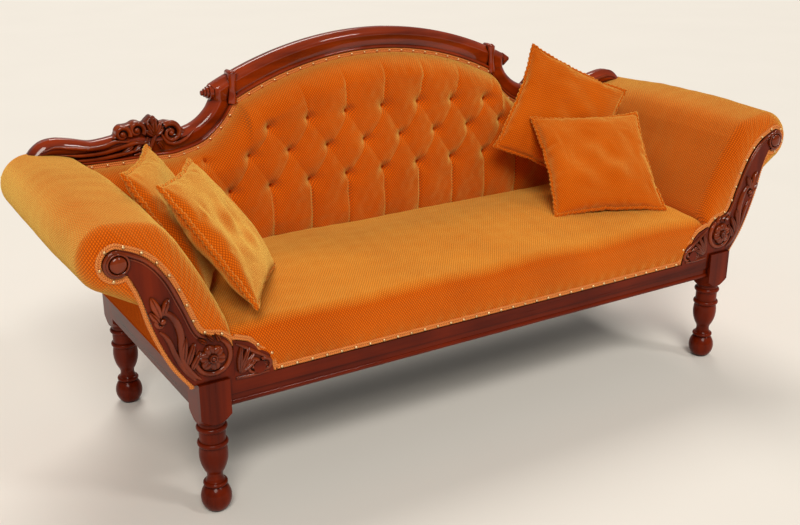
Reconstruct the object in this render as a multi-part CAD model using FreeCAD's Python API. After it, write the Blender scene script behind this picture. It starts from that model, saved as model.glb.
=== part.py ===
"""Show-wood sofa with scroll arms, an arched crest rail, a deep-buttoned back and four loose cushions.

Millimetres, +Z up, +Y to the back, +X to the sitter's left. The origin is on the floor under the middle.
Each piece is a separate solid, written to its own file under its own name.
"""
import FreeCAD, Part

import math
import os

# Stance: distances between the leg axes
LEG_SPACING_X = 1581.0
LEG_SPACING_Y = 627.0

# Turned leg, as a stack of heights from the floor, with the diameter of each turning
FOOT_PAD_DIA = 40.0
FOOT_BALL_DIA = 72.0
FOOT_BALL_HEIGHT = 66.0
ANKLE_DIA = 46.0
COLLAR_DIA = 57.0
COLLAR_HEIGHT = 11.0
NECK_DIA = 37.0
NECK_HEIGHT = 28.0
VASE_DIA = 67.0
VASE_HEIGHT = 65.5
RING_DIA = 72.0
RING_HEIGHT = 13.0
SHAFT_DIA = 61.0
SHAFT_HEIGHT = 27.0
CAP_HEIGHT = 12.5
BLOCK_SIDE = 74.0
BLOCK_HEIGHT = 104.0
BLOCK_SHOULDER_HEIGHT = 20.0

# Seat rails and their tenons
RAIL_RISE = 32.0
RAIL_HEIGHT = 59.0
RAIL_THICK = 30.0
FRONT_RAIL_SET_BACK = 9.0
RAIL_BEAD_HEIGHT = 13.0
RAIL_STEP = 4.0
RAIL_STEP_HEIGHT = 16.0
TENON_LENGTH = 30.0
TENON_THICK = 12.0
TENON_SHOULDER = 9.0
TENON_CLEARANCE = 0.2

# Corner braces and their screws
BRACE_REACH = 70.0
BRACE_HEIGHT = 40.0
BRACE_RISE = 9.0
SCREW_DIA = 5.0
SCREW_LENGTH = 70.0
SCREW_HEAD_DIA = 10.0
SCREW_HEAD_HEIGHT = 3.0
SCREW_CLEARANCE = 0.1

# Arm facing: an S-shaped board from the rosette ring up to the scroll
FACING_THICK = 32.0
FACING_SET_BACK = 8.5
RING_SHIFT = 3.5
ROSETTE_RING_RADIUS = 48.0
ROSETTE_RING_RISE = 60.0
FACING_FOOT_OUT = 43.5
SCROLL_OUT = 185.5
SCROLL_RISE = 312.0
SCROLL_RADIUS = 31.0
SCROLL_END_ANGLE = 235.0
ROUNDEL_DIA = 48.0
ROUNDEL_THICK = 9.0
ROSETTE_DIA = 58.0
ROSETTE_THICK = 16.5
ROSETTE_PETALS = 6
ROSETTE_PETAL_DIA = 21.0
LEAF_THICK = 9.0
LEAF_VOLUTE_DIA = 34.0
LEAF_EYE_PROUD = 3.0
BRACKET_WIDTH = 96.0
BRACKET_HEIGHT = 100.0
BRACKET_THICK = 24.0
BRACKET_SCROLL_DIA = 30.0
BRACKET_RELIEF = 6.0
BRACKET_BOW = 4.0

# Arm upholstery: the pad outside the facing and the frame inside it
ARM_PAD_INSET = 55.5
ARM_PAD_SIDE_HEIGHT = 122.0
ARM_PAD_SET_BACK = 14.5
ARM_EDGE_ROUND = 24.0
ROLL_RADIUS = 75.0
ROLL_END_ANGLE = 65.0
SHOULDER_REACH = 138.0
SHOULDER_RISE = 16.0
ARM_PANEL_THICK = 5.0
CORE_RAIL_DIA = 40.0
ARM_TACK_WIDTH = 30.0
ARM_TACK_HEIGHT = 36.0
ARM_TACK_RISE = 80.0
REAR_BOARD_THICK = 32.0

# Crest rail: arch, shoulders and wings, all cut from one thickness
CREST_THICK = 38.0
CREST_RISE = 627.0
CREST_WIDTH = 59.0
ARCH_HALF = 487.0
ARCH_END_DROP = 116.0
ARCH_END_HEIGHT = 39.0
ARCH_INNER_HALF = 425.0
ARCH_INNER_DROP = 100.0
DIP_X = 588.0
DIP_RISE = 404.0
WING_LOW_RISE = 344.0
WING_INNER_X = 600.0
WING_JOINT_X = 690.0
LEAF_PEAK_RISE = 453.0
WING_HUMP_RISE = 420.0
WING_TIP_OUT = 205.5
WING_TIP_RISE = 366.0
WING_TIP_TUCK = 12.0
WING_TIP_LIFT = 10.0
WING_TAPER = 125.0
VOLUTE_DIA = 40.0
VOLUTE_EYE_DIA = 36.0
VOLUTE_RELIEF = 8.0
VOLUTE_SINK = 5.0
VOLUTE_NECK_DROP = 2.0
LEAF_BOW = 3.0
STRAP_END_IN = 57.0
STRAP_FOOT_RISE = 4.0
STRAP_WIDTH = 13.0
STRAP_PROUD = 7.0
STRAP_KNOB_DIA = 18.0
FINIAL_DIA = 36.0
FINIAL_LENGTH = 28.0
FINIAL_STEPS = 4

# Back frame
POST_WIDTH = 60.0
TACK_RAIL_HEIGHT = 60.0
TACK_RAIL_RISE = 80.0
UPRIGHT_X = 300.0
UPRIGHT_WIDTH = 50.0
BACK_PANEL_THICK = 4.0
BACK_PANEL_DROP = 40.0

# Back upholstery
BACK_PAD_DEPTH = 93.0
BACK_PAD_EDGE = 12.0
BACK_PAD_DROP = 60.0
BACK_EDGE_ROUND = 48.0
BACK_WEB_THICK = 2.0
BACK_WEB_WIDTH = 50.0
BACK_WEB_COUNT = 9
TUFT_COUNTS = (7, 10, 9)
TUFT_PITCH = 120.0
TUFT_FAN = 1.08
TUFT_TOP_RISE = 417.0
TUFT_ROW_DROP = 92.0
TUFT_ARCH_DROP = 20.0
TUFT_DEPTH = 48.0
TUFT_MOUTH_DIA = 70.0
PLEAT_DEPTH = 26.0
PLEAT_WIDTH = 62.0
BUTTON_DIA = 20.0
BUTTON_TOP_DIA = 13.0
BUTTON_HEIGHT = 9.0

# Seat upholstery
SEAT_FRONT_HEIGHT = 78.0
SEAT_EDGE_RADIUS = 44.0
SEAT_CROWN = 16.0
SEAT_BACK_HEIGHT = 113.0
HESSIAN_THICK = 2.0
DUST_COVER_THICK = 2.0
SPRING_COUNT = 9
SPRING_SPREAD = 1280.0
SPRING_WIRE_DIA = 4.0
SPRING_PITCH = 34.0
SPRING_RUN = 26.0
SPRING_DROP = 11.0

# Braid and nails along the show wood
GIMP_WIDTH = 12.0
GIMP_THICK = 3.0
GIMP_BEDDING = 0.5
NAIL_DIA = 8.0
NAIL_PITCH = 38.0

# Loose cushions
CUSHION_SIDE = 335.0
CUSHION_THICK = 96.0
CUSHION_EDGE = 9.0
CUSHION_DRAW_IN = 17.0
CUSHION_GAP = 0.6
CUSHION_MESH = 0.2
SETTLE_ROUNDS = 5

# How each cushion lies, in degrees: heading of its face, lean from upright, turn in its own plane
REAR_LEFT_HEADING_ANGLE = 64.4
REAR_LEFT_LEAN_ANGLE = 30.0
REAR_LEFT_TURN_ANGLE = -4.1
REAR_LEFT_Y = -5.0
FRONT_LEFT_HEADING_ANGLE = 61.8
FRONT_LEFT_LEAN_ANGLE = 36.6
FRONT_LEFT_TURN_ANGLE = -6.4
FRONT_LEFT_Y = -138.5
REAR_RIGHT_HEADING_ANGLE = -14.0
REAR_RIGHT_LEAN_ANGLE = 20.0
REAR_RIGHT_TURN_ANGLE = 62.0
REAR_RIGHT_INSET = 165.0
FRONT_RIGHT_HEADING_ANGLE = -18.6
FRONT_RIGHT_LEAN_ANGLE = 47.0
FRONT_RIGHT_TURN_ANGLE = -0.8
FRONT_RIGHT_INSET = 175.0

# Curved edges, as shares of the way across and of the way up between their two ends
OUTER_EDGE = ((0, 0), (0.34, 0.22), (0.64, 0.54), (0.80, 0.80), (1, 1))
FACING_RISE = ((0, 0), (0.153, 0.072), (0.296, 0.353), (0.476, 0.672), (0.698, 0.881), (1, 1))
BRACKET_STEPS = ((0.09, 0.43), (0.38, 0.60), (0.62, 0.87), (1, 1))
CREST_SWEEP = ((0, 0), (0.16, 0.347), (0.371, 0.645), (0.6, 0.855), (1, 1))
HOLLOW_SWEEP = ((0, 0), (0.15, 0.36), (0.4, 0.7), (0.68, 0.91), (1, 1))
LEAF_POINTS = ((0.56, 0.26), (0.53, 0.57), (0.70, 0.80))

# The wing's upper edge: shares of the way to the tip, each with its depth below the hump
WING_SWAY = ((0.14, 17.0), (0.30, 18.0), (0.63, 0.0), (0.88, 22.0))

# Fits
SOFT_GAP = 0.3
FACE_TOLERANCE = 0.01
OVERCUT = 1.0
GROOVE_OVERCUT = 5.0

V = FreeCAD.Vector

# Places that follow from the sizes
LEG_X = LEG_SPACING_X / 2
LEG_Y = LEG_SPACING_Y / 2
HALF_BLOCK = BLOCK_SIDE / 2
BLOCK_IN_X = LEG_X - HALF_BLOCK
BLOCK_IN_Y = LEG_Y - HALF_BLOCK
BLOCK_OUT_Y = LEG_Y + HALF_BLOCK
TURNED_STACK = (FOOT_BALL_HEIGHT, COLLAR_HEIGHT, NECK_HEIGHT, VASE_HEIGHT, RING_HEIGHT, SHAFT_HEIGHT,
                RING_HEIGHT, CAP_HEIGHT)
BLOCK_BOTTOM = sum(TURNED_STACK)
BLOCK_TOP = BLOCK_BOTTOM + BLOCK_HEIGHT
RAIL_BOTTOM = BLOCK_BOTTOM + RAIL_RISE
RAIL_TOP = RAIL_BOTTOM + RAIL_HEIGHT
SEAT_BASE = RAIL_TOP + HESSIAN_THICK
FRONT_RAIL_Y = -BLOCK_OUT_Y + FRONT_RAIL_SET_BACK
SIDE_RAIL_IN_X = LEG_X + HALF_BLOCK - RAIL_THICK
BACK_RAIL_Y = BLOCK_OUT_Y - RAIL_THICK

FACING_Y = -BLOCK_OUT_Y + FACING_SET_BACK
FACING_BACK_Y = FACING_Y + FACING_THICK
RING_X = LEG_X - RING_SHIFT
RING_Z = BLOCK_TOP + ROSETTE_RING_RISE
SCROLL_X = LEG_X + SCROLL_OUT
SCROLL_Z = BLOCK_TOP + SCROLL_RISE
PAD_FRONT_Y = -BLOCK_OUT_Y + ARM_PAD_SET_BACK
PAD_IN_X = LEG_X - ARM_PAD_INSET

CREST_BACK_Y = -FACING_Y + ROSETTE_THICK
CREST_FRONT_Y = CREST_BACK_Y - CREST_THICK
BACK_EDGE_Y = CREST_FRONT_Y - GIMP_THICK + GIMP_BEDDING
BACK_FRONT_Y = BACK_EDGE_Y - BACK_PAD_DEPTH
BACK_WEB_Y = BACK_EDGE_Y + BACK_PAD_EDGE
TACK_RAIL_Y = BACK_WEB_Y + BACK_WEB_THICK
BACK_PAD_BOTTOM = BLOCK_TOP + BACK_PAD_DROP
WING_LOW_Z = BLOCK_TOP + WING_LOW_RISE
STRAP_X = ARCH_HALF - STRAP_END_IN
POST_IN_X = LEG_X - POST_WIDTH / 2

nodes = {}


def mirrored(shape):
    """The same piece on the other side of the sofa."""
    return shape.mirror(V(0, 0, 0), V(1, 0, 0))


def add_pair(name, shape):
    """A right-hand piece and its left-hand twin."""
    nodes["right_" + name] = shape
    nodes["left_" + name] = mirrored(shape)


def line(a, b):
    return Part.LineSegment(a, b).toShape()


def arc(a, middle, b):
    return Part.Arc(a, middle, b).toShape()


def curve(points):
    spline = Part.BSplineCurve()
    spline.interpolate(points)
    return spline.toShape()


def point(x, z):
    """A point of a front outline, in the plane y = 0."""
    return V(x, 0, z)


def between(start, end, shares):
    """Points from start to end, each a share of the way across and a share of the way up."""
    way = end - start
    return [point(start.x + across * way.x, start.z + up * way.z) for across, up in shares]


def front_face(edges):
    """A front outline filled in, in the plane y = 0."""
    return Part.Face(Part.Wire(edges))


def thick(face, front, back):
    """A face of the plane y = 0 made solid from one depth to another."""
    moved = face.copy()
    moved.translate(V(0, front, 0))
    return moved.extrude(V(0, back - front, 0))


def prism(edges, front, back):
    """A front outline made solid from one depth to another."""
    return thick(front_face(edges), front, back)


def block(x0, x1, y0, y1, z0, z1):
    """A box between two corners."""
    return Part.makeBox(x1 - x0, y1 - y0, z1 - z0, V(x0, y0, z0))


def disc(x, z, diameter, front, back):
    """A round plate that faces the front."""
    return Part.makeCylinder(diameter / 2, back - front, V(x, front, z), V(0, 1, 0))


# Legs


def turned_leg():
    """The turned foot, vase and rings on the Z axis."""
    radii = [dia / 2 for dia in (ANKLE_DIA, NECK_DIA, SHAFT_DIA)]
    ankle, neck, shaft = radii
    marks = [0.0]
    for height in TURNED_STACK:
        marks.append(marks[-1] + height)
    ball, collar, throat, vase, ring, straight, upper = [(a + b) / 2 for a, b in zip(marks[:-2], marks[1:-1])]
    edges = [
        line(point(0, 0), point(FOOT_PAD_DIA / 2, 0)),
        arc(point(FOOT_PAD_DIA / 2, 0), point(FOOT_BALL_DIA / 2, ball), point(ankle, marks[1])),
        arc(point(ankle, marks[1]), point(COLLAR_DIA / 2, collar), point(ankle, marks[2])),
        arc(point(ankle, marks[2]), point(neck, throat), point(ankle, marks[3])),
        arc(point(ankle, marks[3]), point(VASE_DIA / 2, vase + VASE_HEIGHT / 6), point(shaft, marks[4])),
        arc(point(shaft, marks[4]), point(RING_DIA / 2, ring), point(shaft, marks[5])),
        line(point(shaft, marks[5]), point(shaft, marks[6])),
        arc(point(shaft, marks[6]), point(RING_DIA / 2, upper), point(shaft, marks[7])),
        line(point(shaft, marks[7]), point(shaft, marks[8])),
        line(point(shaft, marks[8]), point(0, marks[8])),
        line(point(0, marks[8]), point(0, 0)),
    ]
    face = Part.Face(Part.Wire(edges))
    return face.revolve(V(0, 0, 0), V(0, 0, 1), 360)


def leg_block():
    """The square block above the turning, its lower corners turned away."""
    square = block(-HALF_BLOCK, HALF_BLOCK, -HALF_BLOCK, HALF_BLOCK, BLOCK_BOTTOM, BLOCK_TOP)
    corner = HALF_BLOCK * math.sqrt(2) + OVERCUT
    shoulder = Part.makeCone(HALF_BLOCK, corner, BLOCK_SHOULDER_HEIGHT, V(0, 0, BLOCK_BOTTOM))
    above = Part.makeCylinder(corner, BLOCK_HEIGHT - BLOCK_SHOULDER_HEIGHT,
                              V(0, 0, BLOCK_BOTTOM + BLOCK_SHOULDER_HEIGHT))
    return square.common(shoulder.fuse(above))


def tenon_x(rail_y, extra):
    """The tenon of a front or back rail in the right-hand block, with room around it."""
    middle = rail_y + RAIL_THICK / 2
    half = TENON_THICK / 2 + extra
    return block(BLOCK_IN_X - OVERCUT, BLOCK_IN_X + TENON_LENGTH + extra, middle - half, middle + half,
                 RAIL_BOTTOM + TENON_SHOULDER - extra, RAIL_TOP - TENON_SHOULDER + extra)


def tenon_y(extra):
    """The tenon of the right-hand side rail in the back block, with room around it."""
    middle = SIDE_RAIL_IN_X + RAIL_THICK / 2
    half = TENON_THICK / 2 + extra
    return block(middle - half, middle + half, BLOCK_IN_Y - OVERCUT, BLOCK_IN_Y + TENON_LENGTH + extra,
                 RAIL_BOTTOM + TENON_SHOULDER - extra, RAIL_TOP - TENON_SHOULDER + extra)


def flipped(shape):
    """The same piece at the other end, front to back."""
    return shape.mirror(V(0, 0, 0), V(0, 1, 0))


def screw(rail_y, extra, head):
    """A brace screw in the back right corner, along the diagonal into the block."""
    outward = V(1, 1, 0).normalize()
    corner = V(BLOCK_IN_X, BLOCK_IN_Y, RAIL_BOTTOM + BRACE_RISE + BRACE_HEIGHT / 2)
    face = V(BLOCK_IN_X - BRACE_REACH, rail_y, corner.z)
    start = corner + outward * (face - corner).dot(outward)
    shank = Part.makeCylinder(SCREW_DIA / 2 + extra, SCREW_LENGTH + extra, start, outward)
    if not head:
        return shank
    cap = Part.makeCylinder(SCREW_HEAD_DIA / 2, SCREW_HEAD_HEIGHT, start, outward * -1)
    return shank.fuse(cap)


def brace(rail_y):
    """A back right corner brace, fitted round the inner corner of the leg block."""
    low = RAIL_BOTTOM + BRACE_RISE
    reach_y = BLOCK_IN_X - BRACE_REACH + rail_y - SIDE_RAIL_IN_X
    corners = [V(BLOCK_IN_X - BRACE_REACH, rail_y, low), V(BLOCK_IN_X, rail_y, low),
               V(BLOCK_IN_X, BLOCK_IN_Y, low), V(SIDE_RAIL_IN_X, BLOCK_IN_Y, low),
               V(SIDE_RAIL_IN_X, reach_y, low)]
    face = Part.Face(Part.makePolygon(corners + corners[:1]))
    return face.extrude(V(0, 0, BRACE_HEIGHT))


def make_base():
    """Legs, rails, braces and screws."""
    leg = turned_leg().fuse(leg_block()).removeSplitter()
    front_rail_in = -(FRONT_RAIL_Y + RAIL_THICK)
    hole = screw(BACK_RAIL_Y, SCREW_CLEARANCE, False)
    front_hole = flipped(screw(front_rail_in, SCREW_CLEARANCE, False))
    back = leg.copy()
    back.translate(V(LEG_X, LEG_Y, 0))
    back = back.cut(tenon_x(BACK_RAIL_Y, TENON_CLEARANCE)).cut(tenon_y(TENON_CLEARANCE)).cut(hole)
    front = leg.copy()
    front.translate(V(LEG_X, -LEG_Y, 0))
    front = front.cut(tenon_x(FRONT_RAIL_Y, TENON_CLEARANCE)).cut(flipped(tenon_y(TENON_CLEARANCE)))
    front = front.cut(front_hole)
    nodes["back_right_leg"] = back
    nodes["back_left_leg"] = mirrored(back)
    nodes["front_right_leg"] = front
    nodes["front_left_leg"] = mirrored(front)

    back_tenon = tenon_x(BACK_RAIL_Y, 0)
    back_rail = block(-BLOCK_IN_X, BLOCK_IN_X, BACK_RAIL_Y, BLOCK_OUT_Y, RAIL_BOTTOM, RAIL_TOP)
    nodes["back_rail"] = back_rail.fuse([back_tenon, mirrored(back_tenon)]).removeSplitter()
    side_rail = block(SIDE_RAIL_IN_X, LEG_X + HALF_BLOCK, -BLOCK_IN_Y, BLOCK_IN_Y, RAIL_BOTTOM, RAIL_TOP)
    side_rail = side_rail.fuse([tenon_y(0), flipped(tenon_y(0))]).removeSplitter()
    add_pair("side_rail", side_rail)
    nodes["front_rail"] = front_rail()

    braces = [brace(BACK_RAIL_Y).cut(hole), flipped(brace(front_rail_in)).cut(front_hole)]
    braces += [mirrored(one) for one in braces]
    nodes["corner_braces"] = Part.makeCompound(braces)
    screws = [screw(BACK_RAIL_Y, 0, True), flipped(screw(front_rail_in, 0, True))]
    screws += [mirrored(one) for one in screws]
    nodes["brace_screws"] = Part.makeCompound(screws)


def front_rail():
    """The moulded front rail: a bead along the bottom and two steps above it."""
    bead_top = RAIL_BOTTOM + RAIL_BEAD_HEIGHT
    step_z = bead_top + RAIL_STEP_HEIGHT
    inner = FRONT_RAIL_Y + RAIL_THICK
    face_y = FRONT_RAIL_Y + RAIL_STEP

    def at(y, z):
        return V(-BLOCK_IN_X, y, z)

    edges = [
        arc(at(face_y, RAIL_BOTTOM), at(FRONT_RAIL_Y, (RAIL_BOTTOM + bead_top) / 2), at(face_y, bead_top)),
        line(at(face_y, bead_top), at(face_y, step_z)),
        line(at(face_y, step_z), at(FRONT_RAIL_Y, step_z)),
        line(at(FRONT_RAIL_Y, step_z), at(FRONT_RAIL_Y, RAIL_TOP)),
        line(at(FRONT_RAIL_Y, RAIL_TOP), at(inner, RAIL_TOP)),
        line(at(inner, RAIL_TOP), at(inner, RAIL_BOTTOM)),
        line(at(inner, RAIL_BOTTOM), at(face_y, RAIL_BOTTOM)),
    ]
    body = Part.Face(Part.Wire(edges)).extrude(V(2 * BLOCK_IN_X, 0, 0))
    tenon = tenon_x(FRONT_RAIL_Y, 0)
    return body.fuse([tenon, mirrored(tenon)]).removeSplitter()


# Arm show wood


def on_scroll(angle, extra):
    """A point of the scroll's round edge at an angle in degrees, moved outwards by extra."""
    turn = math.radians(angle)
    radius = SCROLL_RADIUS + extra
    return point(SCROLL_X + radius * math.cos(turn), SCROLL_Z + radius * math.sin(turn))


def facing_foot():
    """The outer end of the facing's foot on the leg block."""
    return point(LEG_X + FACING_FOOT_OUT, BLOCK_TOP)


def outer_edge(shift):
    """The hollow outer edge of the arm from foot to scroll, moved inwards by shift."""
    points = between(facing_foot(), on_scroll(SCROLL_END_ANGLE, 0), OUTER_EDGE)
    inward = V(-shift, 0, shift / 2)
    return [one + inward for one in points]


def moved_out(points, extra):
    """Points of an upper edge moved square to the edge; the two ends move straight up."""
    moved = [points[0] + V(0, 0, extra)]
    for before, one, after in zip(points[:-2], points[1:-1], points[2:]):
        along = (after - before).normalize()
        moved.append(one + V(-along.z, 0, along.x) * extra)
    return moved + [points[-1] + V(0, 0, extra)]


def facing_edges(extra):
    """The S outline of the right facing, made larger all round by extra."""
    radius = ROSETTE_RING_RADIUS + extra
    slant = radius * math.sqrt(0.5)
    foot_in = point(RING_X - radius, BLOCK_TOP - extra / 2)
    ring_side = point(RING_X - radius, RING_Z)
    ring_top = point(RING_X, RING_Z + radius)
    bare_top = point(RING_X, RING_Z + ROSETTE_RING_RADIUS)
    rising = moved_out(between(bare_top, on_scroll(90, 0), FACING_RISE), extra)
    scroll_end = on_scroll(SCROLL_END_ANGLE, extra)
    falling = [scroll_end] + list(reversed(outer_edge(-extra)[:-1]))
    return [
        line(foot_in, ring_side),
        arc(ring_side, point(RING_X - slant, RING_Z + slant), ring_top),
        curve(rising),
        arc(on_scroll(90, extra), on_scroll(0, extra), on_scroll(-90, extra)),
        arc(on_scroll(-90, extra), on_scroll((SCROLL_END_ANGLE + 270) / 2, extra), scroll_end),
        curve(falling),
        line(falling[-1], foot_in),
    ]


def bracket_edges():
    """The outline of the right corner bracket: steps from ring to rail, and a foot below the facing."""
    right = RING_X - ROSETTE_RING_RADIUS - SOFT_GAP
    low_in = point(right - BRACKET_WIDTH, RAIL_TOP)
    top_out = point(right, RAIL_TOP + BRACKET_HEIGHT)
    first, second, third, last = between(low_in, top_out, BRACKET_STEPS)
    bow = V(-BRACKET_BOW / 2, 0, BRACKET_BOW)
    foot_in = point(right, BLOCK_TOP)
    foot_top = point(BLOCK_IN_X, BLOCK_TOP)
    foot_low = point(BLOCK_IN_X, RAIL_TOP)
    return [
        line(low_in, first),
        arc(first, (first + second) * 0.5 + bow, second),
        arc(second, (second + third) * 0.5 + bow, third),
        line(third, last),
        line(last, foot_in),
        line(foot_in, foot_top),
        line(foot_top, foot_low),
        line(foot_low, low_in),
    ]


def rosette():
    """A carved flower: a ring of round petals about a raised eye."""
    reach = (ROSETTE_DIA - ROSETTE_PETAL_DIA) / 2
    flower = disc(RING_X, RING_Z, ROSETTE_DIA / 2, FACING_Y - ROSETTE_THICK, FACING_Y)
    for turn in range(ROSETTE_PETALS):
        angle = 2 * math.pi * turn / ROSETTE_PETALS
        x = RING_X + reach * math.cos(angle)
        z = RING_Z + reach * math.sin(angle)
        flower = flower.fuse(disc(x, z, ROSETTE_PETAL_DIA, FACING_Y - ROSETTE_THICK / 2, FACING_Y))
    return flower.removeSplitter()


def leaf_carving():
    """The carved leaf that climbs the outer edge of the facing and ends in a small volute."""
    outer = outer_edge(0)
    start, eye, tip = between(outer[0], outer[-1], LEAF_POINTS)
    radius = LEAF_VOLUTE_DIA / 2
    front = FACING_Y - LEAF_THICK
    blade = prism([
        curve([start, eye + V(-radius, 0, 0), tip]),
        curve([tip, eye + V(radius * 0.9, 0, radius * 0.7), eye + V(radius * 0.8, 0, -radius), start]),
    ], front, FACING_Y)
    volute = disc(eye.x, eye.z, LEAF_VOLUTE_DIA * 0.8, front - LEAF_EYE_PROUD, FACING_Y)
    return blade.fuse(volute).removeSplitter()


def make_arm_wood():
    """Facings, roundels, rosettes, leaves and corner brackets."""
    add_pair("arm_facing", prism(facing_edges(0), FACING_Y, FACING_BACK_Y))
    add_pair("arm_roundel", disc(SCROLL_X, SCROLL_Z, ROUNDEL_DIA, FACING_Y - ROUNDEL_THICK, FACING_Y))
    add_pair("rosette", rosette())
    add_pair("leaf_carving", leaf_carving())
    bracket = prism(bracket_edges(), FACING_Y, FACING_Y + BRACKET_THICK)
    scroll_x = RING_X - ROSETTE_RING_RADIUS - BRACKET_WIDTH * 0.62
    scroll_z = RAIL_TOP + BRACKET_SCROLL_DIA * 0.75
    relief = disc(scroll_x, scroll_z, BRACKET_SCROLL_DIA, FACING_Y - BRACKET_RELIEF, FACING_Y)
    add_pair("corner_bracket", bracket.fuse(relief).removeSplitter())


# Crest rail


def crest_inner_points(inset):
    """The inner corner points of the right half of the crest, drawn in by inset."""
    arch_mid = point(0, BLOCK_TOP + CREST_RISE - CREST_WIDTH - inset)
    arch_end = point(ARCH_INNER_HALF - 0.6 * inset, arch_mid.z - ARCH_INNER_DROP + 0.2 * inset)
    wing_start = point(WING_INNER_X, WING_LOW_Z - inset)
    return arch_mid, arch_end, between(arch_end, wing_start, CREST_SWEEP)


def volute_points():
    """Centres of the three carved volutes on the right-hand crest, from the dip outwards."""
    third = point(DIP_X + 1.2 * VOLUTE_DIA / 2, BLOCK_TOP + DIP_RISE - VOLUTE_SINK)
    second = point(WING_JOINT_X + 0.7 * VOLUTE_DIA / 2, third.z + VOLUTE_DIA / 2)
    first = point(second.x + 0.95 * VOLUTE_DIA, second.z - 0.15 * VOLUTE_DIA)
    return third, second, first


def arch_edges():
    """The outline of the centre arch, cut off square where the finials stand."""
    arch_mid, arch_end = crest_inner_points(0)[:2]
    top = point(0, BLOCK_TOP + CREST_RISE)
    end = point(ARCH_HALF, top.z - ARCH_END_DROP)
    foot = point(ARCH_HALF, end.z - ARCH_END_HEIGHT)

    def left(one):
        return point(-one.x, one.z)

    return [
        arc(left(end), top, end),
        line(end, foot),
        line(foot, arch_end),
        arc(arch_end, arch_mid, left(arch_end)),
        line(left(arch_end), left(foot)),
        line(left(foot), left(end)),
    ]


def shoulder_edges():
    """The right shoulder: a hollow sweep down from the arch, then the leaf above the wing joint."""
    arch_end, sweep = crest_inner_points(0)[1:]
    foot = point(ARCH_HALF, BLOCK_TOP + CREST_RISE - ARCH_END_DROP - ARCH_END_HEIGHT)
    dip = point(DIP_X, BLOCK_TOP + DIP_RISE)
    third, second = volute_points()[:2]
    radius = VOLUTE_DIA / 2 * 1.2
    peak = point((third.x + second.x) / 2, BLOCK_TOP + LEAF_PEAK_RISE)
    joint_top = point(WING_JOINT_X, second.z + radius * 0.5)
    joint_low = point(WING_JOINT_X, WING_LOW_Z)
    volute_side = third + V(radius * 0.4, 0, radius * 0.92)
    return [
        curve(between(foot, dip, HOLLOW_SWEEP)),
        arc(dip, third + V(-radius * 0.6, 0, radius * 0.8), volute_side),
        arc(volute_side, (volute_side + peak) * 0.5 + V(-LEAF_BOW, 0, LEAF_BOW), peak),
        arc(peak, (peak + joint_top) * 0.5 + V(LEAF_BOW, 0, LEAF_BOW), joint_top),
        line(joint_top, joint_low),
        line(joint_low, sweep[-1]),
        curve(list(reversed(sweep))),
        line(arch_end, foot),
    ]


def wing_edges():
    """The right wing: two small volutes at the joint, then a long hump that tapers to the tip."""
    second, first = volute_points()[1:]
    radius = VOLUTE_DIA / 2
    joint_top = point(WING_JOINT_X, second.z + radius * 1.2 * 0.5)
    joint_low = point(WING_JOINT_X, WING_LOW_Z)
    notch = (second + first) * 0.5 + V(0, 0, radius * 0.6)
    neck = first + V(radius, 0, -VOLUTE_NECK_DROP)
    tip = point(LEG_X + WING_TIP_OUT, BLOCK_TOP + WING_TIP_RISE)
    hump = BLOCK_TOP + WING_HUMP_RISE
    sway = [neck]
    for share, drop in WING_SWAY:
        sway.append(point(neck.x + share * (tip.x - neck.x), hump - drop))
    sway.append(tip)
    under = point(tip.x - WING_TIP_TUCK, WING_LOW_Z + WING_TIP_LIFT)
    taper = point(tip.x - WING_TAPER, WING_LOW_Z)
    return [
        arc(joint_top, second + V(0, 0, radius), notch),
        arc(notch, first + V(0, 0, radius), neck),
        curve(sway),
        line(tip, under),
        line(under, taper),
        line(taper, joint_low),
        line(joint_low, joint_top),
    ]


def finial():
    """A turned cone of steps on the square end of the arch, pointing outwards."""
    z = BLOCK_TOP + CREST_RISE - ARCH_END_DROP - ARCH_END_HEIGHT / 2
    y = (CREST_FRONT_Y + CREST_BACK_Y) / 2
    step = FINIAL_LENGTH / FINIAL_STEPS
    knob = None
    for count in range(FINIAL_STEPS):
        big = FINIAL_DIA / 2 * (1 - count / FINIAL_STEPS)
        small = big * 0.86
        ring = Part.makeCone(big, small, step, V(ARCH_HALF + count * step, y, z), V(1, 0, 0))
        knob = ring if knob is None else knob.fuse(ring)
    return knob.removeSplitter()


def strap(arch):
    """A bead across the front of the arch, with a knob on its upper edge."""
    high = BLOCK_TOP + CREST_RISE - ARCH_END_DROP * (STRAP_X / ARCH_HALF) ** 2
    half = STRAP_WIDTH / 2
    arch_mid, arch_end = crest_inner_points(0)[:2]
    bow = (arch_end.x ** 2 + ARCH_INNER_DROP ** 2) / (2 * ARCH_INNER_DROP)
    reach = min(STRAP_X - half, arch_end.x)
    low = arch_mid.z - bow + math.sqrt(bow ** 2 - reach ** 2) + STRAP_FOOT_RISE
    bar = block(STRAP_X - half, STRAP_X + half, CREST_FRONT_Y - STRAP_PROUD, CREST_FRONT_Y, low, high)
    knob = disc(STRAP_X, high, STRAP_KNOB_DIA, CREST_FRONT_Y - STRAP_PROUD, CREST_BACK_Y)
    return bar.fuse(knob).removeSplitter().cut(arch)


def make_crest():
    """The five crest pieces with their straps, finials and carved volutes."""
    arch = prism(arch_edges(), CREST_FRONT_Y, CREST_BACK_Y)
    nodes["crest_arch"] = arch
    add_pair("crest_shoulder", prism(shoulder_edges(), CREST_FRONT_Y, CREST_BACK_Y))
    add_pair("crest_wing", prism(wing_edges(), CREST_FRONT_Y, CREST_BACK_Y))
    add_pair("crest_strap", strap(arch))
    add_pair("crest_finial", finial())
    front = CREST_FRONT_Y - VOLUTE_RELIEF
    volutes = [disc(one.x, one.z, VOLUTE_EYE_DIA, front, CREST_FRONT_Y) for one in volute_points()]
    add_pair("crest_volutes", Part.makeCompound(volutes))


# Arm upholstery


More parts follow.
